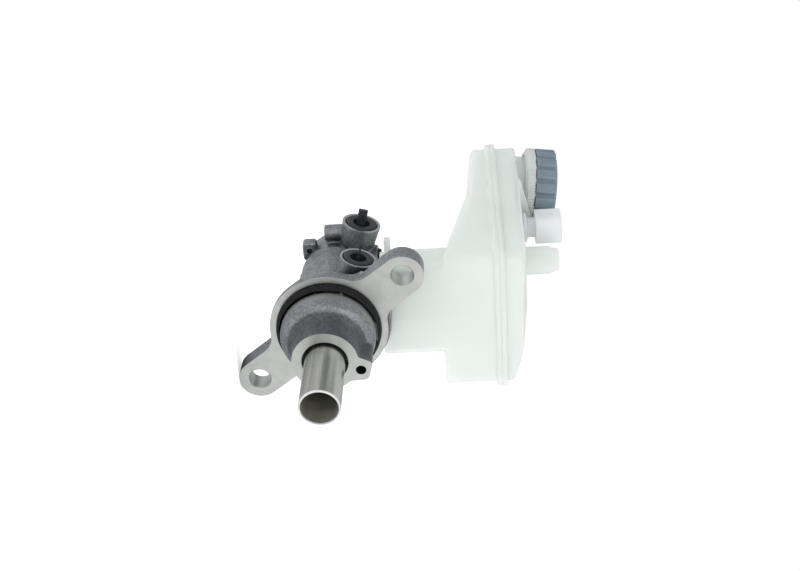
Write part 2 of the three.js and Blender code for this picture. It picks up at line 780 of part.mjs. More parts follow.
function makeCap() {
  const ridges = [];
  for (let i = 0; i < CAP_RIDGES; i += 1) {
    [[0, 1.2], [0.24, 0], [0.76, 0], [0.94, 1.2]].forEach(([part, depth]) => {
      const a = ((i + part) / CAP_RIDGES) * 2 * Math.PI;
      ridges.push([(CAP_R - depth) * Math.cos(a), (CAP_R - depth) * Math.sin(a)]);
    });
  }
  const rim = prismZ(ridges, 8.6, 17.6);
  const body = upright([
    [0, 3.4],
    [19.4, 3.4],
    [21.1, 5],
    [21.1, 7.8],
    [20, 8.8],
    [18.9, 17.5],
    [17.9, 18.4],
    [0, 18.4],
  ]);
  const room = upright([[0, 1], [FILLER_R + 0.8, 1], [FILLER_R + 0.8, 12], [0, 12]]);
  return cut(join(rim, body), room);
}

// ---------- assembly ----------
const assembly = new THREE.Group();
assembly.name = 'brake_master_cylinder';

function place(parent, name, solid, look, position = [0, 0, 0]) {
  const mesh = new THREE.Mesh(toGeometry(solid), look);
  mesh.name = name;
  mesh.position.set(...position);
  parent.add(mesh);
  return mesh;
}

const M = MATERIALS;
place(assembly, 'cylinder_body', makeCylinderBody(), M.castAluminium);
const oRingY = O_RING_SEAT - O_RING_HALF_W - 0.02;
const oRing = ovalRing(PILOT_R + O_RING_R + 0.25, O_RING_R, O_RING_HALF_W, oRingY);
place(assembly, 'flange_o_ring', oRing, M.blackRubber);
place(assembly, 'guide_bush', makeGuideBush(), M.blackPlastic);
place(assembly, 'retaining_clip', makeRetainingClip(), M.springSteel);

place(assembly, 'primary_piston', makePrimaryPiston(), M.anodised);
place(assembly, 'captive_screw', makeCaptiveScrew(), M.steel);
place(assembly, 'secondary_piston', makeSecondaryPiston(), M.anodised);
place(assembly, 'spring_sleeve', makeSpringSleeve(), M.steel);
place(assembly, 'primary_spring', makeSpring(5.9, 0.8, 4.1, 41.4, 6), M.springSteel);
place(assembly, 'secondary_spring', makeSpring(6, 0.85, 45.1, BORE_END_Y - 0.1, 4), M.springSteel);

place(assembly, 'vacuum_seal', makeCupSeal(SEAL_STARTS.vacuum, false), M.blackRubber);
place(assembly, 'primary_cup_seal', makeCupSeal(SEAL_STARTS.primary, false), M.blackRubber);
place(assembly, 'pressure_seal', makeCupSeal(SEAL_STARTS.pressure, true), M.blackRubber);
place(assembly, 'secondary_cup_seal', makeCupSeal(SEAL_STARTS.secondary, false), M.blackRubber);

Object.entries(OUTLETS).forEach(([name, outlet]) => {
  const plugSolid = makeTransitPlug(outlet, name === 'front');
  const plug = place(assembly, `${name}_outlet_plug`, plugSolid, M.blackPlastic);
  plug.position.set(...outletPoint(outlet, 0));
  plug.quaternion.setFromUnitVectors(new THREE.Vector3(0, 1, 0), new THREE.Vector3(...outletDirection));
});

Object.entries(NECKS).forEach(([name, y]) => {
  place(assembly, `${name}_grommet`, makeGrommet(), M.blackRubber, [0, y, POCKET_FLOOR_Z]);
});
const pin = rodBetween(PIN_R, [-8.6, 0, 0], [8.6, 0, 0], 12);
place(assembly, 'reservoir_pin', pin, M.steel, [0, PIN_Y, PIN_Z]);

place(assembly, 'reservoir_lower_shell', makeLowerShell(), M.milkyPlastic);
place(assembly, 'reservoir_upper_shell', makeUpperShell(), M.milkyPlastic);

const switchGroup = new THREE.Group();
switchGroup.position.set(SWITCH.x, SWITCH.y, LID_Z);
assembly.add(switchGroup);
place(switchGroup, 'level_switch', makeLevelSwitch(), M.milkyPlastic);
[['a', -1], ['b', 1]].forEach(([name, side]) => {
  place(switchGroup, `switch_terminal_${name}`, makeTerminal(), M.brass, [0, side * TERMINAL_OFFSET, 4.2]);
});
place(switchGroup, 'level_float', makeFloat(), M.floatFoam, [0, 0, -12.5]);
place(switchGroup, 'float_magnet', tube(3.4, 5.5, 0.1, 2.5, 20), M.ferrite, [0, 0, -12.5]);

const filler = new THREE.Group();
filler.position.copy(fillerPlace);
filler.quaternion.copy(fillerLean);
assembly.add(filler);
place(filler, 'filter_basket', makeFilterBasket(), M.milkyPlastic);
place(filler, 'cap_seal', tube(13.2, FILLER_R + 0.4, FILLER_TOP + 1.6, FILLER_TOP + 3.3, 28), M.blackRubber);
place(filler, 'filler_cap', makeCap(), M.greyPlastic);

export default assembly;
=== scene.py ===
import json
import math
import bmesh
import bpy
from mathutils import Matrix, Vector

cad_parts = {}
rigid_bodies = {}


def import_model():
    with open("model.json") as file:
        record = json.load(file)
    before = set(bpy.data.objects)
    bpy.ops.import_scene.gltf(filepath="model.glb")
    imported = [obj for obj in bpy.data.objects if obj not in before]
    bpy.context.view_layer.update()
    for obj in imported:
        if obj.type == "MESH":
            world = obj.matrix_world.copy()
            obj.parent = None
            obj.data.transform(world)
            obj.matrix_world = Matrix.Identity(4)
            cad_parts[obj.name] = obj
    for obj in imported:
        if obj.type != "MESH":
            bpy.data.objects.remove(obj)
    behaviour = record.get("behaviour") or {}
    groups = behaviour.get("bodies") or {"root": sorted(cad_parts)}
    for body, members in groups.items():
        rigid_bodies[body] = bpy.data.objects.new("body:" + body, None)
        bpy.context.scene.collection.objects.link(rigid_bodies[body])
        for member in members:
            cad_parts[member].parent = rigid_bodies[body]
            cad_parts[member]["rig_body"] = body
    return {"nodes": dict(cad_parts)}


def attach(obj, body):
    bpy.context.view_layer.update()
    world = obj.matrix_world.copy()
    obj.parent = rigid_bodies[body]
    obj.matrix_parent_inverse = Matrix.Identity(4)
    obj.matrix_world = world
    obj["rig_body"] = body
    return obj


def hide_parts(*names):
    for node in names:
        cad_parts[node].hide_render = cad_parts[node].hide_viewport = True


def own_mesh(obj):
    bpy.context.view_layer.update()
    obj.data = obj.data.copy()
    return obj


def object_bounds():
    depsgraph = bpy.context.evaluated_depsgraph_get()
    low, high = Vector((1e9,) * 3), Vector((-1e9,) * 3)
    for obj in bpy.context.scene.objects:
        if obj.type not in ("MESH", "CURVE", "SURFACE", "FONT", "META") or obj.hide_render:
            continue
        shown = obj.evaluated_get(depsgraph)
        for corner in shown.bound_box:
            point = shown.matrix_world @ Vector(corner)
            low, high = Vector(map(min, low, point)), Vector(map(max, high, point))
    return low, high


# The looks of a tandem brake master cylinder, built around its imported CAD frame.
# Shapes are made in millimetres and scaled to the frame's metres when a piece is finished.
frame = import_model()
cad_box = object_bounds()
scene = bpy.context.scene
MM = 0.001

# ---------- dimensions, millimetres ----------
BORE_R = 9.525
BORE_END_Y = 68.5
NOSE_Y = -27
MOUTH_R = 10.05
SHOULDER_Y = -20.6
PILOT_R = 20.5
LIP_R = 21.4
FLANGE_R = 26.8
FLANGE_BACK_R = 24.3
FLANGE_RIM_T = 3.2
FLANGE_T = 10
EAR_R = 9.65
EAR_OFFSET = 43
EAR_ANGLE = math.radians(36.5)
BOLT_HOLE_R = 5
BARREL_R = 14.3
BARREL_REAR_R = 16.4
BARREL_WAIST_R = 14.2
BARREL_STEP_Y = 48
BARREL_END_Y = 73.5
O_RING_R = 1.5
O_RING_HALF_W = 2.2
O_RING_SEAT = 0.8
O_RING_ROOM = 3.4
O_RING_SIDES = 28
PISTON_R = 9.445
SPRING_ROOM_R = 7.4
SEAL_GROOVE_R = 12
SEAL_GROOVE_W = 4
SEAL_STARTS = {"vacuum_seal": -15, "primary_cup_seal": 15, "pressure_seal": 34, "secondary_cup_seal": 48.5}
OUTLET_DIRECTION = Vector((-math.cos(math.radians(15)), 0, math.sin(math.radians(15))))
OUTLETS = {
    "rear": {"y": 21.5, "boss": 8.4, "base": 8.2, "seat": 7.1, "port": 4.9},
    "front": {"y": 56, "boss": 9.3, "base": 7.7, "seat": 7.6, "port": 5.2},
}
OUTLET_X, OUTLET_Z = -24, 14.2
NECKS = {"rear": 20.5, "front": 53}
NECK_R = 6.6
NECK_BORE_R = 4.6
POCKET_R = 9.2
POCKET_FLOOR_Z = 14
SADDLE_R = 11.8
SADDLE_TOP_Z = 21
PIN_R = 1.7
PIN_Y, PIN_Z = 36, 20.5
WALL = 2.2
SEAM_Z = 78
LID_Z = 90.5
RIM_OUT = 2.4
RIM_T = 2.4
CAP_PLACE = Vector((-18.5, 95, LID_Z))
CAP_TILT = math.radians(8)
TOWER_R = 21
CAP_R = 21.4
CAP_RIDGES = 18
CAP_GRIP_Z = 7.7               # blue-grey grip above, pale skirt below, greyed as painted shade
SKIRT_R = 21.35
SKIRT_TEETH = 96
FILLER_BORE_R = 14.5
FILLER_R = 16.8
FILLER_TOP = 8.2
SWITCH_PLACE = Vector((-14, 62, LID_Z))
TERMINAL_OFFSET = 2.6
NIPPLE_PLACE = Vector((-5, 45, LID_Z))
PRIMARY_SPRING_Y = (4.1, 41.4)
SECONDARY_SPRING_Y = (45.1, BORE_END_Y - 0.1)
PIN_HALF_L = 8.6
CASTING_STOCK = 2.0            # skin that is machined off the cast faces
LIP_TURNED_FROM_Y = -8.6       # the nose is turned true from here to the flange
BEYOND = 60                    # farther out than any part of the casting
HAIR = 0.01                    # a face this close to a plane lies on it
SQUARE_ON = 0.99               # a normal's share along an axis, from which the face is square to it
FLOAT_BELOW_LID = 12.5
FINE = 72                      # segments of a small turned piece
SMOOTH = 128                   # segments of a large one


# ---------- mesh kit ----------
def solid(bm):
    """A temporary object, in millimetres, from a bmesh."""
    bmesh.ops.recalc_face_normals(bm, faces=bm.faces)
    mesh = bpy.data.meshes.new("work")
    bm.to_mesh(mesh)
    bm.free()
    obj = bpy.data.objects.new("work", mesh)
    scene.collection.objects.link(obj)
    return obj


def discard(obj):
    bpy.data.objects.remove(obj)


def applied(obj):
    """Turns the object's modifiers into its mesh."""
    graph = bpy.context.evaluated_depsgraph_get()
    mesh = bpy.data.meshes.new_from_object(obj.evaluated_get(graph))
    obj.modifiers.clear()
    obj.data = mesh
    return obj


def boolean(operation, base, *tools):
    for tool in tools:
        step = base.modifiers.new("boolean", "BOOLEAN")
        step.operation = operation
        step.solver = "MANIFOLD"
        step.object = tool
    applied(base)
    for tool in tools:
        discard(tool)
    return base


def cut(base, *tools):
    return boolean("DIFFERENCE", base, *tools)


def union(base, *tools):
    return boolean("UNION", base, *tools)


def common(base, *tools):
    return boolean("INTERSECT", base, *tools)


def moulded(obj, voxel, passes):
    """Rebuilds a closed solid on an even grid and eases its edges, as casting and moulding do."""
    remesh = obj.modifiers.new("remesh", "REMESH")
    remesh.mode = "VOXEL"
    remesh.voxel_size = voxel * 1
    smooth = obj.modifiers.new("smooth", "SMOOTH")
    smooth.factor = 0.5
    smooth.iterations = passes // 1
    return applied(obj)


def bevelled(obj, width, segments=3):
    bevel = obj.modifiers.new("bevel", "BEVEL")
    bevel.width = width
    bevel.segments = segments
    bevel.limit_method = "ANGLE"
    bevel.angle_limit = math.radians(40)
    return applied(obj)


def softened(profile, radius, steps=4):
    """Rounds the corners of a turned profile. Ends that lie on the axis stay sharp."""
    closed = profile[0][0] > 0 and profile[-1][0] > 0
    last = len(profile) - 1
    out = []
    for i, point in enumerate(profile):
        corner = Vector(point)
        if not closed and i in (0, last):
            out.append(corner)
            continue
        before = Vector(profile[i - 1]) - corner
        after = Vector(profile[(i + 1) % len(profile)]) - corner
        reach = min(radius, before.length * 0.45, after.length * 0.45)
        start = corner + before.normalized() * reach
        end = corner + after.normalized() * reach
        for k in range(steps + 1):
            t = k / steps
            out.append(start * (1 - t) ** 2 + corner * 2 * t * (1 - t) + end * t * t)
    return out


def turned(profile, segments=FINE):
    """Closed solid of revolution about Z, from a list of (radius, height)."""
    bm = bmesh.new()
    turns = [2 * math.pi * i / segments for i in range(segments)]
    rings = []
    for r, z in profile:
        if r < 1e-6:
            rings.append([bm.verts.new((0, 0, z))])
        else:
            rings.append([bm.verts.new((r * math.cos(a), r * math.sin(a), z)) for a in turns])
    pairs = list(zip(rings, rings[1:]))
    if len(rings[0]) > 1:
        pairs.append((rings[-1], rings[0]))
    for low, high in pairs:
        for i in range(segments):
            j = i + 1
            loop = [low[i % len(low)], low[j % len(low)], high[j % len(high)], high[i % len(high)]]
            corners = list(dict.fromkeys(loop))
            if len(corners) > 2:
                bm.faces.new(corners)
    return solid(bm)


def moved(obj, matrix):
    obj.data.transform(matrix)
    return obj


def aimed(obj, start, direction):
    """Turns an object made about Z so that Z points along direction, from start."""
    turn = Vector((0, 0, 1)).rotation_difference(Vector(direction)).to_matrix().to_4x4()
    return moved(obj, Matrix.Translation(Vector(start)) @ turn)


def along_bore(obj):
    return aimed(obj, (0, 0, 0), (0, 1, 0))


def raised(obj, place):
    return moved(obj, Matrix.Translation(Vector(place)))


def rod(radius, start, end, segments=FINE):
    span = Vector(end) - Vector(start)
    profile = [(0, 0), (radius, 0), (radius, span.length), (0, span.length)]
    return aimed(turned(profile, segments), start, span)


def bore_ring(inner, outer, y0, y1, segments=SMOOTH):
    return along_bore(turned([(inner, y0), (outer, y0), (outer, y1), (inner, y1)], segments))


def box(x0, x1, y0, y1, z0, z1):
    bm = bmesh.new()
    bmesh.ops.create_cube(bm, size=1)
    scale = Matrix.Diagonal((x1 - x0, y1 - y0, z1 - z0, 1))
    centre = Matrix.Translation(((x0 + x1) / 2, (y0 + y1) / 2, (z0 + z1) / 2))
    bm.transform(centre @ scale)
    return solid(bm)


def prism(outline, axis, low, high):
    """Extrudes an outline: [x, y] along Z, [x, z] along Y, [y, z] along X."""
    place = {
        "Z": lambda u, v, w: (u, v, w),
        "Y": lambda u, v, w: (u, w, v),
        "X": lambda u, v, w: (w, u, v),
    }[axis]
    bm = bmesh.new()
    floor = [bm.verts.new(place(u, v, low)) for u, v in outline]
    roof = [bm.verts.new(place(u, v, high)) for u, v in outline]
    bm.faces.new(floor)
    bm.faces.new(roof)
    for i in range(len(outline)):
        j = (i + 1) % len(outline)
        bm.faces.new((floor[i], floor[j], roof[j], roof[i]))
    return solid(bm)


def hull_outline(circles, inset=0.0, step=math.radians(3)):
    """Arcs joined by tangent lines round a counter-clockwise ring of circles (x, y, r)."""
    discs = [(x, y, max(r - inset, 0.05)) for x, y, r in circles]
    normals = []
    for i, (ax, ay, ar) in enumerate(discs):
        bx, by, br = discs[(i + 1) % len(discs)]
        span = math.hypot(bx - ax, by - ay)
        normals.append(math.atan2(by - ay, bx - ax) - math.acos((ar - br) / span))
    points = []
    for i, (x, y, r) in enumerate(discs):
        sweep = (normals[i] - normals[i - 1]) % (2 * math.pi)
        steps = max(1, math.ceil(sweep / step))
        for k in range(steps + 1):
            a = normals[i - 1] + sweep * k / steps
            points.append((x + r * math.cos(a), y + r * math.sin(a)))
    return points


def coil(mean_r, wire_r, y0, y1, turns, per_turn=48, around=14):
    """Compression spring along the bore, with closed and ground ends."""
    total = int(turns * per_turn)
    start, end = y0 + wire_r, y1 - wire_r
    bm = bmesh.new()
    rings = []
    for i in range(total + 1):
        t = i / total
        ramp = min(max((t * turns - 0.75) / (turns - 1.5), 0), 1)
        y = start + wire_r * 1.2 * min(t * turns, 0.75) / 0.75
        y += (end - start - wire_r * 2.4) * ramp
        y += wire_r * 1.2 * max(t * turns - (turns - 0.75), 0) / 0.75
        a = t * turns * 2 * math.pi
        centre = Vector((mean_r * math.cos(a), y, mean_r * math.sin(a)))
        out = Vector((math.cos(a), 0, math.sin(a)))
        ring = []
        for k in range(around):
            b = 2 * math.pi * k / around
            offset = out * wire_r * math.cos(b) + Vector((0, wire_r * math.sin(b), 0))
            ring.append(bm.verts.new(centre + offset))
        rings.append(ring)
    for low, high in zip(rings, rings[1:]):
        for k in range(around):
            j = (k + 1) % around
            bm.faces.new((low[k], low[j], high[j], high[k]))
    bm.faces.new(rings[0])
    bm.faces.new(rings[-1])
    return solid(bm)


# ---------- material kit ----------
class Look:
    """A Principled material whose colour, roughness and bump come from noise in the frame's space."""

    def __init__(self, name, roughness=0.5, metallic=0.0):
        self.material = bpy.data.materials.new(name)
        self.material.use_nodes = True
        self.tree = self.material.node_tree
        self.shader = next(n for n in self.tree.nodes if n.type == "BSDF_PRINCIPLED")
        self.shader.inputs["Roughness"].default_value = roughness
        self.shader.inputs["Metallic"].default_value = metallic
        self.place = self.node("ShaderNodeNewGeometry").outputs["Position"]
        self.height = None

    def node(self, kind, **settings):
        made = self.tree.nodes.new(kind)
        for key, value in settings.items():
            setattr(made, key, value)
        return made

    def link(self, source, target):
        self.tree.links.new(source, target)

    def noise(self, size_mm, detail=4.0, stretch=(1, 1, 1), distortion=0.0):
        mapping = self.node("ShaderNodeMapping")
        scale = 1 / (size_mm * MM)
        mapping.inputs["Scale"].default_value = [scale * s for s in stretch]
        self.link(self.place, mapping.inputs["Vector"])
        noise = self.node("ShaderNodeTexNoise")
        noise.inputs["Scale"].default_value = 1
        noise.inputs["Detail"].default_value = detail
        noise.inputs["Distortion"].default_value = distortion
        self.link(mapping.outputs["Vector"], noise.inputs["Vector"])
        return noise.outputs["Fac"]

    def pits(self, size_mm):
        mapping = self.node("ShaderNodeMapping")
        mapping.inputs["Scale"].default_value = [1 / (size_mm * MM)] * 3
        self.link(self.place, mapping.inputs["Vector"])
        cells = self.node("ShaderNodeTexVoronoi", feature="SMOOTH_F1")
        cells.inputs["Scale"].default_value = 1
        self.link(mapping.outputs["Vector"], cells.inputs["Vector"])
        return cells.outputs["Distance"]

    def ramp(self, value, stops):
        """Maps a value to a colour or, with grey stops, to a number."""
        ramp = self.node("ShaderNodeValToRGB")
        elements = ramp.color_ramp.elements
        while len(elements) < len(stops):
            elements.new(0.5)
        for element, (at, colour) in zip(elements, stops):
            element.position = at
            element.color = (*colour, 1) if isinstance(colour, tuple) else (colour, colour, colour, 1)
        self.link(value, ramp.inputs["Fac"])
        return ramp.outputs["Color"]

    def mix(self, factor, a, b, mode="MIX"):
        mix = self.node("ShaderNodeMix", data_type="RGBA", blend_type=mode)
        for value, slot in ((factor, 0), (a, 6), (b, 7)):
            if isinstance(value, bpy.types.NodeSocket):
                self.link(value, mix.inputs[slot])
            elif slot == 0:
                mix.inputs[slot].default_value = value
            else:
                mix.inputs[slot].default_value = (*value, 1)
        return mix.outputs[2]

    def maths(self, operation, *values):
        node = self.node("ShaderNodeMath", operation=operation)
        for slot, value in enumerate(values):
            if isinstance(value, bpy.types.NodeSocket):
                self.link(value, node.inputs[slot])
            else:
                node.inputs[slot].default_value = value
        return node.outputs[0]

    def colour(self, value):
        self.link(value, self.shader.inputs["Base Color"])

    def rough(self, value):
        self.link(value, self.shader.inputs["Roughness"])

    def bump(self, value, depth_mm, strength=1.0):
        bump = self.node("ShaderNodeBump")
        bump.inputs["Strength"].default_value = strength
        bump.inputs["Distance"].default_value = depth_mm * MM
        self.link(value, bump.inputs["Height"])
        if self.height is not None:
            self.link(self.height, bump.inputs["Normal"])
        self.height = bump.outputs["Normal"]
        self.link(self.height, self.shader.inputs["Normal"])

    def split(self):
        parts = self.node("ShaderNodeSeparateXYZ")
        self.link(self.place, parts.inputs[0])
        return parts.outputs

    def edges(self, radius_mm):
        """Near 1 on convex edges, which are lightened for wear from handling and as a painted highlight where
        they catch the light.
        """
        near = self.node("ShaderNodeBevel", samples=4)
        near.inputs["Radius"].default_value = radius_mm * MM
        true = self.node("ShaderNodeNewGeometry").outputs["Normal"]
        dot = self.node("ShaderNodeVectorMath", operation="DOT_PRODUCT")
        self.link(near.outputs[0], dot.inputs[0])
        self.link(true, dot.inputs[1])
        return self.ramp(self.maths("SUBTRACT", 1.0, dot.outputs["Value"]), [(0.0, 0.0), (0.16, 1.0)])

    def hollow_shade(self, reach_mm):
        """Near 1 in sheltered corners, where the colour is darkened as painted shade."""
        open_sky = self.node("ShaderNodeAmbientOcclusion", samples=6)
        open_sky.inputs["Distance"].default_value = reach_mm * MM
        return self.ramp(open_sky.outputs["AO"], [(0.28, 1.0), (0.78, 0.0)])


def cast_aluminium():
    look = Look("cast_aluminium", 0.5, 0.82)
    tone = look.ramp(look.noise(8, 5), [(0.3, (0.24, 0.25, 0.268)), (0.7, (0.37, 0.383, 0.4))])
    grain = look.ramp(look.noise(1.1, 4), [(0.35, (0.5, 0.5, 0.51)), (0.65, (1.0, 1.0, 1.0))])
    skin = look.mix(0.8, tone, grain, "MULTIPLY")
    # Convex edges lightened: wear from handling, and a painted highlight where they catch the light.
    wear_and_sheen = look.mix(look.edges(0.9), skin, (0.52, 0.54, 0.55))
    _, y, _ = look.split()
    # Painted shade: the casting is darkened to about half forward of Y = -13 mm, on the nose's neck and
    # shoulder.
    neck = look.ramp(look.maths("MULTIPLY_ADD", y, 1 / (20 * MM), 1.5), [(0.81, 0.46), (0.86, 1.0)])
    shaded = look.mix(1.0, wear_and_sheen, neck, "MULTIPLY")
    # Painted shade: the casting darkens to near black in its hollows and crevices.
    look.colour(look.mix(look.hollow_shade(8), shaded, (0.035, 0.037, 0.042)))
    look.rough(look.ramp(look.noise(3, 5), [(0.3, 0.36), (0.7, 0.56)]))
    look.bump(look.noise(2.6, 4), 0.3, 0.55)
    look.bump(look.pits(0.75), 0.16, 0.65)
    return look


def machined(name, colour, roughness, rings_mm=0.35, depth_mm=0.006):
    """Turned or faced metal: fine rings about the bore axis and faint handling marks."""
    look = Look(name, roughness, 1.0)
    x, _, z = look.split()
    radius = look.maths("SQRT", look.maths("ADD", look.maths("MULTIPLY", x, x), look.maths("MULTIPLY", z, z)))
    marks = look.maths("SINE", look.maths("MULTIPLY", radius, 2 * math.pi / (rings_mm * MM)))
    cloud = look.ramp(look.noise(7, 5, distortion=0.6), [(0.3, 0.86), (0.7, 1.0)])
    look.colour(look.mix(1.0, colour, cloud, "MULTIPLY"))
    look.rough(look.ramp(look.noise(2.2, 4), [(0.3, roughness * 0.85), (0.7, roughness * 1.2)]))
    look.bump(marks, depth_mm, 0.5)
    look.bump(look.noise(0.35, 2), 0.004, 0.6)
    return look


def stem_metal():
    look = Look("turned_stem", 0.3, 1.0)
    lines = look.noise(0.5, 3, stretch=(0.02, 6, 0.02))
    streaks = look.ramp(look.noise(2.6, 3, stretch=(1, 0.03, 1)), [(0.36, 0.62), (0.62, 1.0)])
    look.colour(look.mix(1.0, (0.47, 0.475, 0.45), streaks, "MULTIPLY"))
    look.rough(look.ramp(lines, [(0.3, 0.22), (0.7, 0.34)]))
    look.bump(lines, 0.006, 0.6)
    look.shader.inputs["Anisotropic"].default_value = 0.35
    return look


def socket_bottom():
    """The dull, faintly brown inside of the pushrod tube."""
    look = Look("pushrod_socket", 0.6, 0.15)
    look.colour(look.ramp(look.noise(6, 4), [(0.3, (0.17, 0.165, 0.14)), (0.7, (0.25, 0.245, 0.21))]))
    look.rough(look.ramp(look.noise(1.5, 4), [(0.3, 0.5), (0.7, 0.7)]))
    look.bump(look.noise(0.5, 3, stretch=(1, 3, 1)), 0.01, 0.5)
    return look


def wire_steel():
    look = Look("spring_wire", 0.35, 1.0)
    look.colour(look.ramp(look.noise(1.2, 4), [(0.3, (0.3, 0.31, 0.33)), (0.7, (0.5, 0.5, 0.5))]))
    look.bump(look.noise(0.2, 2, stretch=(1, 0.2, 1)), 0.01, 0.6)
    return look


def black_wire():
    look = Look("phosphated_wire", 0.5, 0.6)
    look.colour(look.ramp(look.noise(0.8, 4), [(0.3, (0.01, 0.01, 0.012)), (0.7, (0.03, 0.03, 0.033))]))
    look.bump(look.noise(0.2, 2), 0.01, 0.6)
    return look


def plated_steel():
    look = Look("plated_steel", 0.28, 1.0)
    look.colour(look.ramp(look.noise(1.5, 4), [(0.3, (0.55, 0.54, 0.5)), (0.7, (0.72, 0.71, 0.68))]))
    look.rough(look.ramp(look.noise(0.8, 4), [(0.3, 0.22), (0.7, 0.38)]))
    look.bump(look.noise(0.3, 3), 0.008, 0.6)
    return look


def black_rubber():
    look = Look("black_rubber", 0.62)
    look.shader.inputs["Specular IOR Level"].default_value = 0.22
    look.colour(look.ramp(look.noise(2.5, 5), [(0.3, (0.004, 0.004, 0.005)), (0.75, (0.012, 0.012, 0.014))]))
    look.rough(look.ramp(look.noise(1.2, 4), [(0.3, 0.5), (0.7, 0.75)]))
    look.bump(look.noise(0.25, 3), 0.02, 0.5)
    return look


def black_plastic():
    look = Look("black_plastic", 0.42)
    look.colour(look.ramp(look.noise(3, 5), [(0.3, (0.012, 0.0125, 0.014)), (0.75, (0.028, 0.03, 0.033))]))
    look.rough(look.ramp(look.noise(1.5, 4), [(0.3, 0.34), (0.7, 0.55)]))
    look.bump(look.noise(0.3, 3), 0.02, 0.4)
    return look


def milky_plastic(name, tint, opacity):
    """Unpigmented moulded plastic: light scatters in its wall, and shapes inside show through softly."""
    look = Look(name, 0.36)
    cloud = look.noise(22, 3)
    low = tuple(c * 0.965 for c in tint)
    tone = look.ramp(cloud, [(0.3, low), (0.7, tint)])
    grain = look.noise(0.6, 3)
    look.colour(tone)
    look.rough(look.ramp(look.noise(3.5, 4), [(0.3, 0.3), (0.7, 0.46)]))
    look.bump(look.noise(6, 3), 0.12, 0.35)
    look.bump(grain, 0.012, 0.4)
    look.shader.inputs["IOR"].default_value = 1.45
    look.shader.inputs["Specular IOR Level"].default_value = 0.4
    through = look.node("ShaderNodeBsdfTranslucent")
    look.link(tone, through.inputs["Color"])
    look.link(look.height, through.inputs["Normal"])
    clear = look.node("ShaderNodeBsdfTransparent")
    clear.inputs["Color"].default_value = (*tint, 1)
    wall = look.node("ShaderNodeMixShader")
    wall.inputs[0].default_value = 0.42
    look.link(look.shader.outputs[0], wall.inputs[1])
    look.link(through.outputs[0], wall.inputs[2])
    whole = look.node("ShaderNodeMixShader")
    whole.inputs[0].default_value = opacity
    look.link(clear.outputs[0], whole.inputs[1])
    look.link(wall.outputs[0], whole.inputs[2])
    out = next(n for n in look.tree.nodes if n.type == "OUTPUT_MATERIAL")
    look.link(whole.outputs[0], out.inputs["Surface"])
    return look


def cap_plastic(name, low, high, edge_sheen):
    look = Look(name, 0.45)
    tone = look.ramp(look.noise(7, 4), [(0.3, low), (0.7, high)])
    # Painted highlight: the crests of the lobes and teeth are lightened where they catch the light.
    wear_and_sheen = look.mix(look.edges(0.7), tone, edge_sheen)
    # Painted shade: the cap darkens in its valleys and crevices.
    look.colour(look.mix(look.hollow_shade(1.6), wear_and_sheen, tuple(0.3 * c for c in low)))
    look.rough(look.ramp(look.noise(2, 4), [(0.3, 0.38), (0.7, 0.55)]))
    look.bump(look.noise(0.45, 3), 0.03, 0.5)
    look.shader.inputs["Subsurface Weight"].default_value = 0.08
    look.shader.inputs["Subsurface Radius"].default_value = (0.002, 0.002, 0.002)
    return look


def float_foam():
    look = Look("float_foam", 0.85)
    look.colour(look.ramp(look.pits(0.7), [(0.0, (0.45, 0.37, 0.22)), (0.6, (0.68, 0.58, 0.4))]))
    look.bump(look.pits(0.7), 0.12, 0.7)
    return look


def ferrite():
    look = Look("ferrite", 0.5, 0.3)
    look.colour(look.ramp(look.noise(0.5, 4), [(0.3, (0.03, 0.03, 0.032)), (0.7, (0.075, 0.075, 0.08))]))
    look.bump(look.noise(0.3, 3), 0.02, 0.5)
    return look


def brass():
    look = Look("brass", 0.3, 1.0)
    look.colour(look.ramp(look.noise(1.5, 4), [(0.3, (0.55, 0.4, 0.17)), (0.7, (0.75, 0.58, 0.28))]))
    look.rough(look.ramp(look.noise(0.6, 3, stretch=(1, 1, 0.1)), [(0.3, 0.22), (0.7, 0.4)]))
    look.bump(look.noise(0.3, 2, stretch=(1, 1, 0.1)), 0.01, 0.5)
    return look


MILK = (0.925, 0.95, 0.935)
LOOKS = {
    "cast": cast_aluminium(),
    "faced": machined("machined_face", (0.585, 0.6, 0.58), 0.36),
    "rim": machined("turned_rim", (0.86, 0.87, 0.85), 0.4),
    "bored": machined("bored_hole", (0.3, 0.3, 0.295), 0.42),
    "stem": stem_metal(),
    "socket": socket_bottom(),
    "wire": wire_steel(),
    "steel": plated_steel(),
    "rubber": black_rubber(),
    "plug": black_plastic(),
    "milky": milky_plastic("milky_wall", MILK, 0.72),
    "opal": milky_plastic("opal_fitting", (0.93, 0.95, 0.955), 0.95),
    "cap": cap_plastic("cap_plastic", (0.135, 0.188, 0.225), (0.17, 0.226, 0.262), (0.33, 0.4, 0.45)),
    # Painted shade: the skirt's pale plastic is greyed for the shade under the grip.
    "skirt": cap_plastic("cap_skirt_painted_shade", (0.46, 0.495, 0.48), (0.52, 0.555, 0.54), (0.68, 0.71, 0.7)),
    "black_wire": black_wire(),
    "foam": float_foam(),
    "ferrite": ferrite(),
    "brass": brass(),
}


def dressed(obj, *looks):
    obj.data.materials.clear()
    for look in looks:
        obj.data.materials.append(LOOKS[look].material)


def finished(obj, node, *looks, crease=38):
    """Scales the mesh to metres and makes it the shown form of one CAD node, on that node's body."""
    moved(obj, Matrix.Scale(MM, 4))
    obj.name = f"{node}_shown"
    obj.data.name = obj.name
    if looks:
        dressed(obj, *looks)
    obj.data.shade_smooth()
    obj.data.set_sharp_from_angle(angle=math.radians(crease))
    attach(obj, frame["nodes"][node]["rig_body"])
    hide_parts(node)
    return obj


# ---------- cylinder body ----------
EAR_WAY = Vector((-math.sin(EAR_ANGLE), 0, math.cos(EAR_ANGLE)))


def outlet_point(outlet, distance):
    return Vector((OUTLET_X, outlet["y"], OUTLET_Z)) + OUTLET_DIRECTION * distance


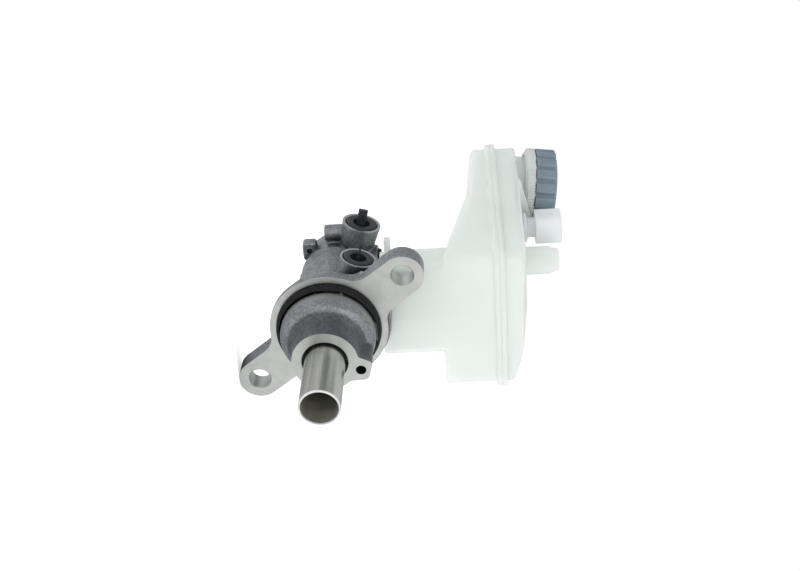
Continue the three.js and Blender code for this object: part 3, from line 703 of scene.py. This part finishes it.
def flange_outline(disc_r, ear_r):
    """A disc with two ears in [x, z], blended by concave arcs."""
    fillet = 9
    reach = math.sqrt((disc_r + fillet) ** 2 - (ear_r + fillet) ** 2)
    blend = math.asin((ear_r + fillet) / (disc_r + fillet))
    quarter = math.pi / 2
    arcs = [
        (reach, -(ear_r + fillet), fillet, math.pi - blend, quarter, 12),
        (EAR_OFFSET, 0, ear_r, -quarter, quarter, 48),
        (reach, ear_r + fillet, fillet, -quarter, blend - math.pi, 12),
        (0, 0, disc_r, blend + 0.02, math.pi - blend - 0.02, 60),
    ]
    half = []
    for u, v, r, start, end, steps in arcs:
        for i in range(steps + 1):
            a = start + (end - start) * i / steps
            half.append((u + r * math.cos(a), v + r * math.sin(a)))
    whole = half + [(-u, -v) for u, v in half]
    return [(u * EAR_WAY.x + v * EAR_WAY.z, u * EAR_WAY.z - v * EAR_WAY.x) for u, v in whole]


def nose_tab_outline():
    lean = math.radians(17.4)
    ax, az = math.sin(lean), math.cos(lean)
    corners = [(-5, 8, 2), (6.6, 8, 2), (2.4, 18, 2.3), (-3, 18, 2.3)]
    return hull_outline([(out * ax + side * az, out * az - side * ax, r) for side, out, r in corners])


def make_casting():
    """One rough casting, then every cut that a machine tool would make in it."""
    stock = CASTING_STOCK
    shell = along_bore(turned([
        (0, NOSE_Y - stock),
        (14.6, NOSE_Y - stock),
        (14.6, -26.2),
        (15, -20),
        (15.9, -16),
        (17, -13.8),
        (LIP_R - 1.9, -11.8),
        (LIP_R - 0.8, -9.6),
        (LIP_R + 0.8, -6.4),
        (LIP_R + 0.8, -1),
        (PILOT_R, 1),
        (BARREL_WAIST_R, 1),
        (BARREL_WAIST_R, 13),
        (BARREL_REAR_R, 14.6),
        (BARREL_REAR_R, BARREL_STEP_Y),
        (BARREL_R, BARREL_STEP_Y + 1),
        (BARREL_R, BARREL_END_Y - 8),
        (BARREL_R - 1.6, BARREL_END_Y - 4),
        (BARREL_R - 4.4, BARREL_END_Y - 0.9),
        (BARREL_R - 7, BARREL_END_Y),
        (0, BARREL_END_Y),
    ], SMOOTH))
    square_lug = [(-14.4, -13.8, 1.4), (-8, -13.8, 1.4), (-8, -9.8, 1.4), (-14.4, -9.8, 1.4)]
    parts = [
        prism(flange_outline(FLANGE_R, EAR_R), "Y", -stock, FLANGE_RIM_T),
        prism(flange_outline(FLANGE_BACK_R, EAR_R), "Y", FLANGE_RIM_T - 0.5, FLANGE_T),
        prism(nose_tab_outline(), "Y", NOSE_Y - stock, -6),
        # shoulder under the rear outlet, and the lug that the reservoir pin goes through
        box(-15.5, 0, FLANGE_T - 0.5, OUTLETS["rear"]["y"] + 6, 3, 16),
        box(-4.6, 4.6, PIN_Y - 2.8, PIN_Y + 2.8, 0, PIN_Z + 3),
        # round lug beside the front outlet, square lug beyond it
        rod(3.8, (-18.8, 58, -4.2), (-18.8, 58, 8)),
        box(-18.8, -8, 55.4, 60.6, -3.4, 8),
        prism(hull_outline(square_lug), "Y", 52.6, 58.6),
        # rib under the barrel, and the pad behind the flange on the reservoir's side
        box(-2.2, 2.2, FLANGE_T - 1, BARREL_STEP_Y, -17, 0),
        common(rod(FLANGE_R + 1.5, (0, 4.5, 0), (0, FLANGE_T, 0)), box(-7, 14, 4, FLANGE_T + 1, 20, 30)),
    ]
    for outlet in OUTLETS.values():
        boss = turned([(0, -20), (outlet["base"], -20), (outlet["base"], -15), (outlet["boss"], 0),
                       (outlet["boss"], stock), (0, stock)])
        parts.append(aimed(boss, outlet_point(outlet, 0), OUTLET_DIRECTION))
    for y in NECKS.values():
        parts.append(rod(SADDLE_R, (0, y, 0), (0, y, SADDLE_TOP_Z + stock)))
    casting = moulded(union(shell, *parts), 0.42, 7)

    # machined faces and holes keep sharp edges
    cutters = [
        box(-40, 40, NOSE_Y - 9, NOSE_Y, -40, 40),
        bore_ring(LIP_R, BEYOND, LIP_TURNED_FROM_Y, -4),
        bore_ring(PILOT_R - 0.02, BEYOND, -4, 0),
        bore_ring(PILOT_R - 0.03, PILOT_R + O_RING_ROOM, -1, O_RING_SEAT),
        along_bore(turned(softened([
            (0, NOSE_Y - 1),
            (MOUTH_R + 1.2, NOSE_Y - 1),
            (MOUTH_R, NOSE_Y + 0.2),
            (MOUTH_R, SHOULDER_Y),
            (BORE_R, SHOULDER_Y),
            (BORE_R, BORE_END_Y - 0.8),
            (BORE_R - 0.8, BORE_END_Y),
            (0, BORE_END_Y),
        ], 0.05), SMOOTH)),
        bore_ring(BORE_R - 2, 11.1, -26.3, -25),
    ]
    for y in SEAL_STARTS.values():
        cutters.append(bore_ring(BORE_R - 2, SEAL_GROOVE_R, y, y + SEAL_GROOVE_W))
    for side in (-1, 1):
        hole = turned([(0, -1), (BOLT_HOLE_R + 1.4, -1), (BOLT_HOLE_R, 0.4), (BOLT_HOLE_R, 9.6),
                       (BOLT_HOLE_R + 1.4, 11), (0, 11)])
        cutters.append(aimed(hole, EAR_WAY * EAR_OFFSET * side, (0, 1, 0)))
    for outlet in OUTLETS.values():
        port = turned([(0, -19), (1.8, -19), (1.8, -11.5), (outlet["port"], -11), (outlet["port"], -1.8),
                       (outlet["seat"], -1.4), (outlet["seat"], -0.4), (outlet["seat"] + 0.4, 0),
                       (15, 0), (15, 6), (0, 6)])
        cutters.append(aimed(port, outlet_point(outlet, 0), OUTLET_DIRECTION))
    feeds = {"rear": SEAL_STARTS["primary_cup_seal"] - 2.4, "front": SEAL_STARTS["secondary_cup_seal"] - 2.2}
    for name, y in NECKS.items():
        pocket = turned([
            (0, POCKET_FLOOR_Z), (POCKET_R, POCKET_FLOOR_Z), (POCKET_R, SADDLE_TOP_Z - 0.5),
            (POCKET_R + 0.5, SADDLE_TOP_Z), (SADDLE_R - 1.3, SADDLE_TOP_Z),
            (SADDLE_R + 0.2, SADDLE_TOP_Z), (SADDLE_R + 0.2, SADDLE_TOP_Z + 4), (0, SADDLE_TOP_Z + 4),
        ])
        cutters.append(raised(pocket, (0, y, 0)))
        cutters.append(rod(1.7, (0, feeds[name], 6), (0, feeds[name], POCKET_FLOOR_Z + 1), 32))
    cutters.append(rod(2.3, (4.8, NOSE_Y - 1, 15.3), (4.8, NOSE_Y + 8, 15.3)))
    cutters.append(rod(1.5, (-11.8, 50, -11.8), (-11.8, 54, -11.8)))
    cutters.append(rod(PIN_R + 0.1, (-10, PIN_Y, PIN_Z), (10, PIN_Y, PIN_Z)))
    cut(casting, *cutters)
    dressed(casting, "cast", "faced", "bored")
    mark_machined(casting)
    return finished(casting, "cylinder_body", crease=30)


def mark_machined(casting):
    """Gives the tool-cut faces of the casting their own material."""
    faced, bored = 1, 2
    for face in casting.data.polygons:
        x, y, z = face.center
        normal = face.normal
        from_axis = math.hypot(x, z)
        from_ear = min((Vector((x, 0, z)) - EAR_WAY * EAR_OFFSET * side).length for side in (-1, 1))
        over_seat = (face.center - outlet_point(OUTLETS["rear"], 0)).dot(OUTLET_DIRECTION)
        if normal.y < -SQUARE_ON and (abs(y) < HAIR or abs(y - NOSE_Y) < HAIR):
            face.material_index = faced
        elif from_ear < BOLT_HOLE_R + 0.5 and -0.1 < y < FLANGE_T + 0.1:
            face.material_index = faced
        elif from_axis < MOUTH_R + 1.2 and y < BORE_END_Y + 0.1:
            face.material_index = bored
        elif (PILOT_R - 0.3 < from_axis < PILOT_R + O_RING_ROOM + 0.1
              and LIP_TURNED_FROM_Y + 0.05 < y < O_RING_SEAT + 0.1):
            face.material_index = bored
        elif abs(over_seat) < 2 * HAIR and normal.dot(OUTLET_DIRECTION) > SQUARE_ON:
            face.material_index = faced
        elif abs(z - SADDLE_TOP_Z) < HAIR and normal.z > SQUARE_ON:
            face.material_index = faced


# ---------- bore pieces ----------
def make_bore_pieces():
    ring_y = O_RING_SEAT - O_RING_HALF_W - 0.02
    ring_r = PILOT_R + O_RING_R + 0.25
    turns = [2 * math.pi * i / O_RING_SIDES for i in range(O_RING_SIDES)]
    section = [(ring_r + O_RING_R * math.cos(a), ring_y + O_RING_HALF_W * math.sin(a)) for a in turns]
    finished(along_bore(turned(section, SMOOTH)), "flange_o_ring", "rubber", crease=80)

    bush = [(9, -25), (9.95, -25), (9.95, -20.65), (9, -20.65)]
    finished(along_bore(turned(softened(bush, 0.2), SMOOTH)), "guide_bush", "plug")

    hoop = [(9.3, -26.25), (10.95, -26.25), (10.95, -25.1), (9.3, -25.1)]
    clip = along_bore(turned(softened(hoop, 0.15), SMOOTH))
    cut(clip, box(-2.2, 2.2, -28, -23, 0, 14))
    finished(clip, "retaining_clip", "black_wire")

    primary = [
        (0, 0), (6.9, 0), (7.7, -1), (7.7, -60), (8.1, -60.8), (8.5, -60.8), (8.9, -60.3),
        (8.9, SHOULDER_Y), (PISTON_R, SHOULDER_Y), (PISTON_R, 18.9), (9.05, 19.3), (SPRING_ROOM_R, 19.3),
        (SPRING_ROOM_R, 4), (1.8, 4), (1.8, 1.5), (0, 1.5),
    ]
    piston = along_bore(turned(softened(primary, 0.25), SMOOTH))
    dressed(piston, "stem", "socket", "rim")
    socket, rim = 1, 2
    for face in piston.data.polygons:
        x, y, z = face.center
        if y < -60.2:
            face.material_index = rim
        elif math.hypot(x, z) < 7.75 and y < 0.1:
            face.material_index = socket
    finished(piston, "primary_piston")

    secondary = [
        (0, 42.5), (SPRING_ROOM_R, 42.5), (SPRING_ROOM_R, 33.5), (9.05, 33.5), (PISTON_R, 33.9),
        (PISTON_R, 52.9), (9.05, 53.3), (SPRING_ROOM_R, 53.3), (SPRING_ROOM_R, 45), (0, 45),
    ]
    finished(along_bore(turned(softened(secondary, 0.25), SMOOTH)), "secondary_piston", "stem")

    screw = [(0, 1.6), (1.7, 1.6), (1.7, 22.6), (3.1, 22.6), (3.1, 24.6), (1.6, 24.6), (1.3, 23.6), (0, 23.6)]
    finished(along_bore(turned(softened(screw, 0.2))), "captive_screw", "steel")

    sleeve = [
        (2.05, 21.4), (4.1, 21.4), (4.1, 41.5), (7.2, 41.5), (7.2, 42.4), (3.4, 42.4), (3.4, 22.2),
        (2.05, 22.2),
    ]
    finished(along_bore(turned(softened(sleeve, 0.3))), "spring_sleeve", "steel")

    for node, start in SEAL_STARTS.items():
        inner, outer = PISTON_R + 0.06, SEAL_GROOVE_R - 0.15
        middle = (inner + outer) / 2
        lips = [(inner, 0.25), (outer, 0.25), (outer, 3.6), (outer - 0.7, 3.6), (middle, 1.6),
                (inner + 0.6, 3.6), (inner, 3.6)]
        base, way = (start + SEAL_GROOVE_W, -1) if node == "pressure_seal" else (start, 1)
        section = softened([(r, base + way * y) for r, y in lips], 0.25)
        finished(along_bore(turned(section, SMOOTH)), node, "rubber", crease=60)


def make_springs():
    """Each spring stands on the piece that its far end rests on."""
    springs = (
        ("primary", 5.9, 0.8, PRIMARY_SPRING_Y, 7),
        ("secondary", 6, 0.85, SECONDARY_SPRING_Y, 5),
    )
    for name, mean_r, wire_r, (start, end), turns in springs:
        spring = finished(coil(mean_r, wire_r, start, end, turns), f"{name}_spring", "wire")
        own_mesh(spring)


# ---------- outlet plugs, grommets, pin ----------
def make_plugs():
    for name, outlet in OUTLETS.items():
        port, seat = outlet["port"], outlet["seat"]
        body = turned(softened([
            (0, -7), (port - 1, -7), (port - 0.2, -5.5), (port - 0.2, -1.35), (seat - 0.25, -1.35),
            (seat - 0.25, 0.2), (seat - 0.9, 0.6), (port - 0.6, 0.6), (port - 1.1, 0.1), (port - 1.1, -4),
            (0, -4),
        ], 0.25))
        if name == "front":
            grip = bevelled(box(-2.5, 1.9, -0.9, 0.9, -4.5, 7.2), 0.35)
            ribs = [bevelled(box(u - 0.28, u + 0.28, -1.12, 1.12, 0.5, 6.6), 0.12, 2)
                    for u in (-1.8, -0.3, 1.2)]
            grip = union(grip, *ribs)
        else:
            spike = [(0, -4.5), (1.5, -4.5), (0.75, -2.5), (0.42, 5), (0.6, 6.5), (0.35, 8), (0, 8)]
            grip = turned(softened(spike, 0.3), 24)
        whole = union(body, grip)
        # the grip's width runs along Z, so the plug is turned about its own axis before it is aimed
        across = Vector((0, 1, 0))
        up = OUTLET_DIRECTION
        side = across.cross(up)
        turn = Matrix((side, across, up)).transposed().to_4x4()
        moved(whole, Matrix.Translation(outlet_point(outlet, 0)) @ turn)
        finished(whole, f"{name}_outlet_plug", "plug")


def make_small_fittings():
    lip = SADDLE_TOP_Z - POCKET_FLOOR_Z
    grommet = [
        (NECK_BORE_R + 0.4, 0.05), (POCKET_R - 0.1, 0.05), (POCKET_R - 0.1, lip + 0.05),
        (SADDLE_R - 1.6, lip + 0.05), (SADDLE_R - 2.2, lip + 1.6), (NECK_R + 0.1, lip + 1.6),
        (NECK_R + 0.1, 0.9), (NECK_BORE_R + 0.4, 0.9),
    ]
    for name, y in NECKS.items():
        ring = raised(turned(softened(grommet, 0.3), SMOOTH), (0, y, POCKET_FLOOR_Z))
        finished(ring, f"{name}_grommet", "rubber", crease=50)
    half = PIN_HALF_L
    pin = turned(softened([(0, -half), (PIN_R, -half), (PIN_R, half), (0, half)], 0.4))
    finished(aimed(pin, (0, PIN_Y, PIN_Z), (1, 0, 0)), "reservoir_pin", "steel")


# ---------- reservoir ----------
TANK_PLAN = [
    (37, 16.5, 5.5), (30, 104, 12.5), (CAP_PLACE.x, CAP_PLACE.y, TOWER_R), (-20.5, 18.5, 4.5), (4, 15, 4),
]
PEDESTAL_PLAN = [(20, 15, 4), (20, 29, 4), (-18, 29, 4), (-18, 17.5, 4), (4, 15, 4)]
UNDERSIDE = [(0, 50), (14, 52), (32, 56.5), (62, 65), (96, 68), (118, 73.5), (125, 75.5)]


def tank_solid(inset):
    side = [(y, z + inset) for y, z in UNDERSIDE] + [
        (125, LID_Z - 6 - inset), (111, LID_Z - 1.5 - inset), (100, LID_Z - inset), (20, LID_Z - inset),
        (14, LID_Z - 1.2 - inset), (0, LID_Z - 6 - inset)]
    section = [
        (-60, 40), (34, 40), (60 - inset, 66), (60 - inset, 78.5 - inset), (37, 84.5 - inset),
        (27, 87.5 - inset), (8, LID_Z - 0.6 - inset), (0, LID_Z + 5), (-60, LID_Z + 5)]
    plan = prism(hull_outline(TANK_PLAN, inset), "Z", 40, LID_Z + 10)
    return common(plan, prism(side, "X", -70, 70), prism(section, "Y", -10, 130))


def half_space(low, high):
    return box(-80, 80, -20, 140, low, high)


def seam_rim(z0, z1):
    outer = prism(hull_outline(TANK_PLAN, -RIM_OUT), "Z", z0, z1)
    return cut(outer, prism(hull_outline(TANK_PLAN, WALL), "Z", z0 - 1, z1 + 1))


def pin_hole():
    return rod(PIN_R + 0.1, (-10, PIN_Y, PIN_Z), (10, PIN_Y, PIN_Z))


def make_lower_shell():
    body = common(tank_solid(0), half_space(0, SEAM_Z))
    union(
        body,
        prism(hull_outline(PEDESTAL_PLAN), "Z", 23.5, 62),
        rod(NECK_R, (0, NECKS["rear"], POCKET_FLOOR_Z + 1), (0, NECKS["rear"], 26)),
        rod(NECK_R, (0, NECKS["front"], POCKET_FLOOR_Z + 1), (0, NECKS["front"], 26)),
        rod(NECK_R + 2.2, (0, NECKS["front"], 24), (0, NECKS["front"], 66)),
        box(-1.2, 1.2, 31, 46, 33, 60),
        box(-18.5, -7, 46.5, 51, 24.5, 27.5),
        box(-7.6, 7.6, 32, 46, 27, 30),
        box(-7.6, -5, PIN_Y - 3.5, PIN_Y + 3.5, PIN_Z - 3.5, 28),
        box(5, 7.6, PIN_Y - 3.5, PIN_Y + 3.5, PIN_Z - 3.5, 28),
        seam_rim(SEAM_Z - RIM_T, SEAM_Z),
    )
    inner = union(
        common(tank_solid(WALL), half_space(0, SEAM_Z + 1)),
        prism(hull_outline(PEDESTAL_PLAN, WALL), "Z", 23.5 + WALL, 61),
        rod(NECK_BORE_R, (0, NECKS["rear"], 5), (0, NECKS["rear"], 30)),
        rod(NECK_BORE_R, (0, NECKS["front"], 5), (0, NECKS["front"], 70)),
    )
    baffle = common(tank_solid(WALL / 2), box(-60, 60, 37.5, 39.3, 40, SEAM_Z - 8))
    shell = union(cut(body, inner), baffle)
    shell = cut(shell, pin_hole())
    finished(moulded(shell, 0.5, 5), "reservoir_lower_shell", "milky", crease=50)


def lean():
    return Matrix.Translation(CAP_PLACE) @ Matrix.Rotation(CAP_TILT, 4, "Y")


def make_upper_shell():
    body = union(common(tank_solid(0), half_space(SEAM_Z, 140)), seam_rim(SEAM_Z, SEAM_Z + RIM_T))
    cut(body, common(tank_solid(WALL), half_space(SEAM_Z - 1, 140)))
    thread = [(FILLER_BORE_R, -3), (FILLER_R, -3)]
    for k in range(3):
        base = 2.2 + 1.8 * k
        thread += [
            (FILLER_R, base), (FILLER_R + 0.6, base + 0.5), (FILLER_R + 0.6, base + 0.8),
            (FILLER_R, base + 1.3),
        ]
    thread += [(FILLER_R, FILLER_TOP), (FILLER_BORE_R, FILLER_TOP)]
    neck = moved(turned(thread, SMOOTH), lean())
    neck_bore = moved(turned([(0, -8), (FILLER_BORE_R, -8), (FILLER_BORE_R, 20), (0, 20)], SMOOTH), lean())
    nipple = raised(turned([
        (0, -1.5), (6.7, -1.5), (6.7, 12.6), (5.8, 13.6), (5.3, 16.9), (0, 16.9),
    ]), NIPPLE_PLACE)
    nipple_bore = raised(turned([(0, -6), (3.3, -6), (3.3, 20), (0, 20)]), NIPPLE_PLACE)
    x, y, _ = NIPPLE_PLACE
    rib = box(x - 1.5, x + 1.5, y + 4, SWITCH_PLACE.y - 8.5, LID_Z - 1, LID_Z + 13)
    seat = raised(turned([(4.6, -3), (7.4, -3), (7.4, 1), (4.6, 1)]), SWITCH_PLACE)
    hole = raised(turned([(0, -8), (4.6, -8), (4.6, 5), (0, 5)]), SWITCH_PLACE)
    ridge = common(
        prism(hull_outline(TANK_PLAN, 0.3), "Z", LID_Z - 2, LID_Z + 8),
        prism([(-40, LID_Z - 1.5), (2, LID_Z - 1.5), (1, LID_Z + 0.6), (-6, LID_Z + 5), (-17, LID_Z + 5.6),
               (-40, LID_Z - 0.2)], "Y", 70.6, 73.1))
    union(body, neck, nipple, rib, seat, ridge)
    cut(body, neck_bore, nipple_bore, hole)
    finished(moulded(body, 0.42, 4), "reservoir_upper_shell", "milky", crease=50)


# ---------- level switch, float, filter and cap ----------
def make_level_switch():
    corners = [(2.4, -4.2, 4), (2.4, 4.2, 4), (-3, 4.2, 4), (-3, -4.2, 4)]
    shroud = prism(hull_outline(corners), "Z", 7, 19.5)
    cut(shroud, prism(hull_outline(corners, 1.4), "Z", 8.4, 21), box(-8, -4, -1, 1, 13, 15.5))
    stem = turned([
        (0, -22.4), (3.9, -22.4), (3.9, -21.4), (3, -21), (3, -4.2), (4.4, -3.8), (4.4, 1.2),
        (7.2, 1.35), (7.2, 2.8), (4.8, 3.4), (4.8, 7.2), (0, 7.2)])
    slots = [box(-1.5, 1.5, s * TERMINAL_OFFSET - 0.5, s * TERMINAL_OFFSET + 0.5, 2, 9) for s in (-1, 1)]
    switch = cut(union(shroud, stem), *slots)
    finished(raised(moulded(switch, 0.24, 4), SWITCH_PLACE), "level_switch", "opal", crease=50)

    blade = [(-1.3, 0), (1.3, 0), (1.3, 10.4), (0.8, 11.4), (-0.8, 11.4), (-1.3, 10.4)]
    for name, side in (("a", -1), ("b", 1)):
        terminal = bevelled(prism(blade, "Y", -0.35, 0.35), 0.1, 2)
        raised(terminal, SWITCH_PLACE + Vector((0, side * TERMINAL_OFFSET, 4.2)))
        finished(terminal, f"switch_terminal_{name}", "brass")

    low = SWITCH_PLACE - Vector((0, 0, FLOAT_BELOW_LID))
    body = turned(softened([(3.4, 2.6), (5.7, 2.6), (5.7, 0), (9.8, 0), (9.8, 7), (3.4, 7)], 0.5), SMOOTH)
    finished(raised(body, low), "level_float", "foam")
    magnet = turned(softened([(3.4, 0.1), (5.5, 0.1), (5.5, 2.5), (3.4, 2.5)], 0.25))
    finished(raised(magnet, low), "float_magnet", "ferrite")


def make_filter_and_cap():
    cup = turned(softened([
        (0, -5), (13.2, -5), (13.9, -4.3), (13.9, FILLER_TOP + 0.3), (16.5, FILLER_TOP + 0.3),
        (16.5, FILLER_TOP + 1.2), (12.9, FILLER_TOP + 1.2), (12.9, -4), (0, -4)], 0.2), SMOOTH)
    windows = []
    for i in range(12):
        window = box(10, 20, -1.6, 1.6, -2, 7)
        windows.append(moved(window, Matrix.Rotation(math.radians(30 * i + 15), 4, "Z")))
    basket = moved(cut(cup, *windows), lean())
    finished(basket, "filter_basket", "opal")

    seal = turned(softened([
        (13.2, FILLER_TOP + 1.6), (FILLER_R + 0.4, FILLER_TOP + 1.6), (FILLER_R + 0.4, FILLER_TOP + 3.3),
        (13.2, FILLER_TOP + 3.3)], 0.3), SMOOTH)
    finished(moved(seal, lean()), "cap_seal", "rubber")

    # grip: broad lobes with narrow valleys between them, over a finely toothed skirt
    lobes = wavy_outline(CAP_R, CAP_RIDGES, 16, lambda part: valley(part, 0.44, 1.7))
    teeth = wavy_outline(SKIRT_R, SKIRT_TEETH, 6, lambda part: valley(part, 1.0, 0.45))
    rim = bevelled(prism(lobes, "Z", 7.8, 17.6), 0.45, 3)
    skirt = bevelled(prism(teeth, "Z", 3.7, 7.2), 0.2, 2)
    body = turned(softened([
        (0, 2.4), (18.9, 2.4), (20.9, 4.1), (20.9, 7.2), (20, 8), (18.9, 17.5), (17.9, 18.4), (15, 18.4),
        (14.6, 17.9), (6, 17.9), (5.5, 18.2), (0, 18.2)], 0.4), SMOOTH)
    room = turned([(0, 1), (FILLER_R + 0.8, 1), (FILLER_R + 0.8, 12), (0, 12)], SMOOTH)
    cap = cut(union(body, rim, skirt), room)
    dressed(cap, "cap", "skirt")
    for face in cap.data.polygons:
        face.material_index = int(face.center.z < CAP_GRIP_Z)
    finished(moved(cap, lean()), "filler_cap", crease=32)


def valley(part, width, depth):
    """Depth of a smooth groove in the middle of one period."""
    rise = max(0.0, 1 - abs(part - 0.5) * 2 / width)
    return depth * rise * rise * (3 - 2 * rise)


def wavy_outline(radius, count, steps, depth_at):
    """A circle in [x, y] cut in by depth_at(share of the period), count times round."""
    points = []
    for i in range(count * steps):
        r = radius - depth_at((i % steps) / steps)
        a = 2 * math.pi * i / (count * steps)
        points.append((r * math.cos(a), r * math.sin(a)))
    return points


make_casting()
make_bore_pieces()
make_springs()
make_plugs()
make_small_fittings()
make_lower_shell()
make_upper_shell()
make_level_switch()
make_filter_and_cap()


# ---------- floor, light and camera, in metres ----------
LOOK_AT = (0, 0.04, 0.05)
CAMERA_PLACE = Vector((-0.2915, -0.4643, 0.0582))
CAMERA_RIGHT = Vector((0.064, 0.016, 0.998))
CAMERA_BACK = Vector((-0.503, -0.863, 0.046))
SENSOR_MM = 36
LENS_MM = 54.86
FLOOR_HALF = 6
FLOOR_GLOW = 0.55              # keeps the floor white; metal sees only a little of it
FLOOR_GLOW_IN_METAL = 0.05
SKY_DARK = (0.42, 0.43, 0.45, 1)
SKY_LIGHT = (1, 1, 1, 1)
TOWARD_LIGHT = (0.35, -0.85, 0.3)


def make_floor():
    """A plain pale floor that the object stands on."""
    bm = bmesh.new()
    bmesh.ops.create_grid(bm, x_segments=1, y_segments=1, size=FLOOR_HALF)
    floor = solid(bm)
    floor.name = "floor"
    floor.location = (0, 0, cad_box[0].z)
    look = Look("pale_floor", 0.7)
    look.colour(look.ramp(look.noise(60, 3), [(0.3, (0.93, 0.93, 0.93)), (0.7, (0.96, 0.96, 0.96))]))
    look.bump(look.noise(2, 3), 0.02, 0.2)
    look.shader.inputs["Emission Color"].default_value = (1, 1, 1, 1)
    glossy = look.node("ShaderNodeLightPath").outputs["Is Glossy Ray"]
    glow = look.maths("MULTIPLY_ADD", glossy, FLOOR_GLOW_IN_METAL - FLOOR_GLOW, FLOOR_GLOW)
    look.link(glow, look.shader.inputs["Emission Strength"])
    floor.data.materials.append(look.material)


def make_world():
    """Even white surroundings, a little darker from above and behind, so that metal shows its form."""
    world = bpy.data.worlds.new("studio")
    scene.world = world
    world.use_nodes = True
    tree = world.node_tree
    background = next(n for n in tree.nodes if n.type == "BACKGROUND")
    direction = tree.nodes.new("ShaderNodeTexCoord").outputs["Generated"]
    toward = tree.nodes.new("ShaderNodeVectorMath")
    toward.operation = "DOT_PRODUCT"
    toward.inputs[1].default_value = TOWARD_LIGHT
    tree.links.new(direction, toward.inputs[0])
    ramp = tree.nodes.new("ShaderNodeValToRGB")
    ramp.color_ramp.elements[0].color = SKY_DARK
    ramp.color_ramp.elements[1].color = SKY_LIGHT
    shifted = tree.nodes.new("ShaderNodeMapRange")
    shifted.inputs["From Min"].default_value = -1
    shifted.inputs["From Max"].default_value = 1
    tree.links.new(toward.outputs["Value"], shifted.inputs["Value"])
    tree.links.new(shifted.outputs["Result"], ramp.inputs["Fac"])
    path = tree.nodes.new("ShaderNodeLightPath")
    mix = tree.nodes.new("ShaderNodeMix")
    mix.data_type = "RGBA"
    mix.inputs[7].default_value = SKY_LIGHT
    tree.links.new(path.outputs["Is Camera Ray"], mix.inputs[0])
    tree.links.new(ramp.outputs["Color"], mix.inputs[6])
    tree.links.new(mix.outputs[2], background.inputs["Color"])


def area_light(name, place, target, size, power):
    light = bpy.data.lights.new(name, "AREA")
    light.shape = "DISK"
    light.size = size
    light.energy = power
    obj = bpy.data.objects.new(name, light)
    obj.location = place
    obj.rotation_euler = (Vector(target) - Vector(place)).to_track_quat("-Z", "Y").to_euler()
    scene.collection.objects.link(obj)


def make_camera():
    """The camera lies on its side: +Z runs to the right of the picture and -X up."""
    right = CAMERA_RIGHT.normalized()
    back = (CAMERA_BACK - right * CAMERA_BACK.dot(right)).normalized()
    up = back.cross(right)
    data = bpy.data.cameras.new("camera")
    data.sensor_width = SENSOR_MM
    data.lens = LENS_MM
    camera = bpy.data.objects.new("camera", data)
    turn = Matrix((right, up, back)).transposed().to_4x4()
    camera.matrix_world = Matrix.Translation(CAMERA_PLACE) @ turn
    scene.collection.objects.link(camera)
    scene.camera = camera


make_floor()
make_world()
area_light("key", (-0.35, -0.75, 0.35), (0, 0.03, 0.03), 0.6, 1.2)
area_light("fill", (0.6, -0.45, 0.5), LOOK_AT, 0.8, 0.8)
area_light("top", (-0.2, 0.3, 0.8), LOOK_AT, 0.6, 0.5)
make_camera()
scene.view_settings.view_transform = "Standard"
scene.view_settings.look = "None"
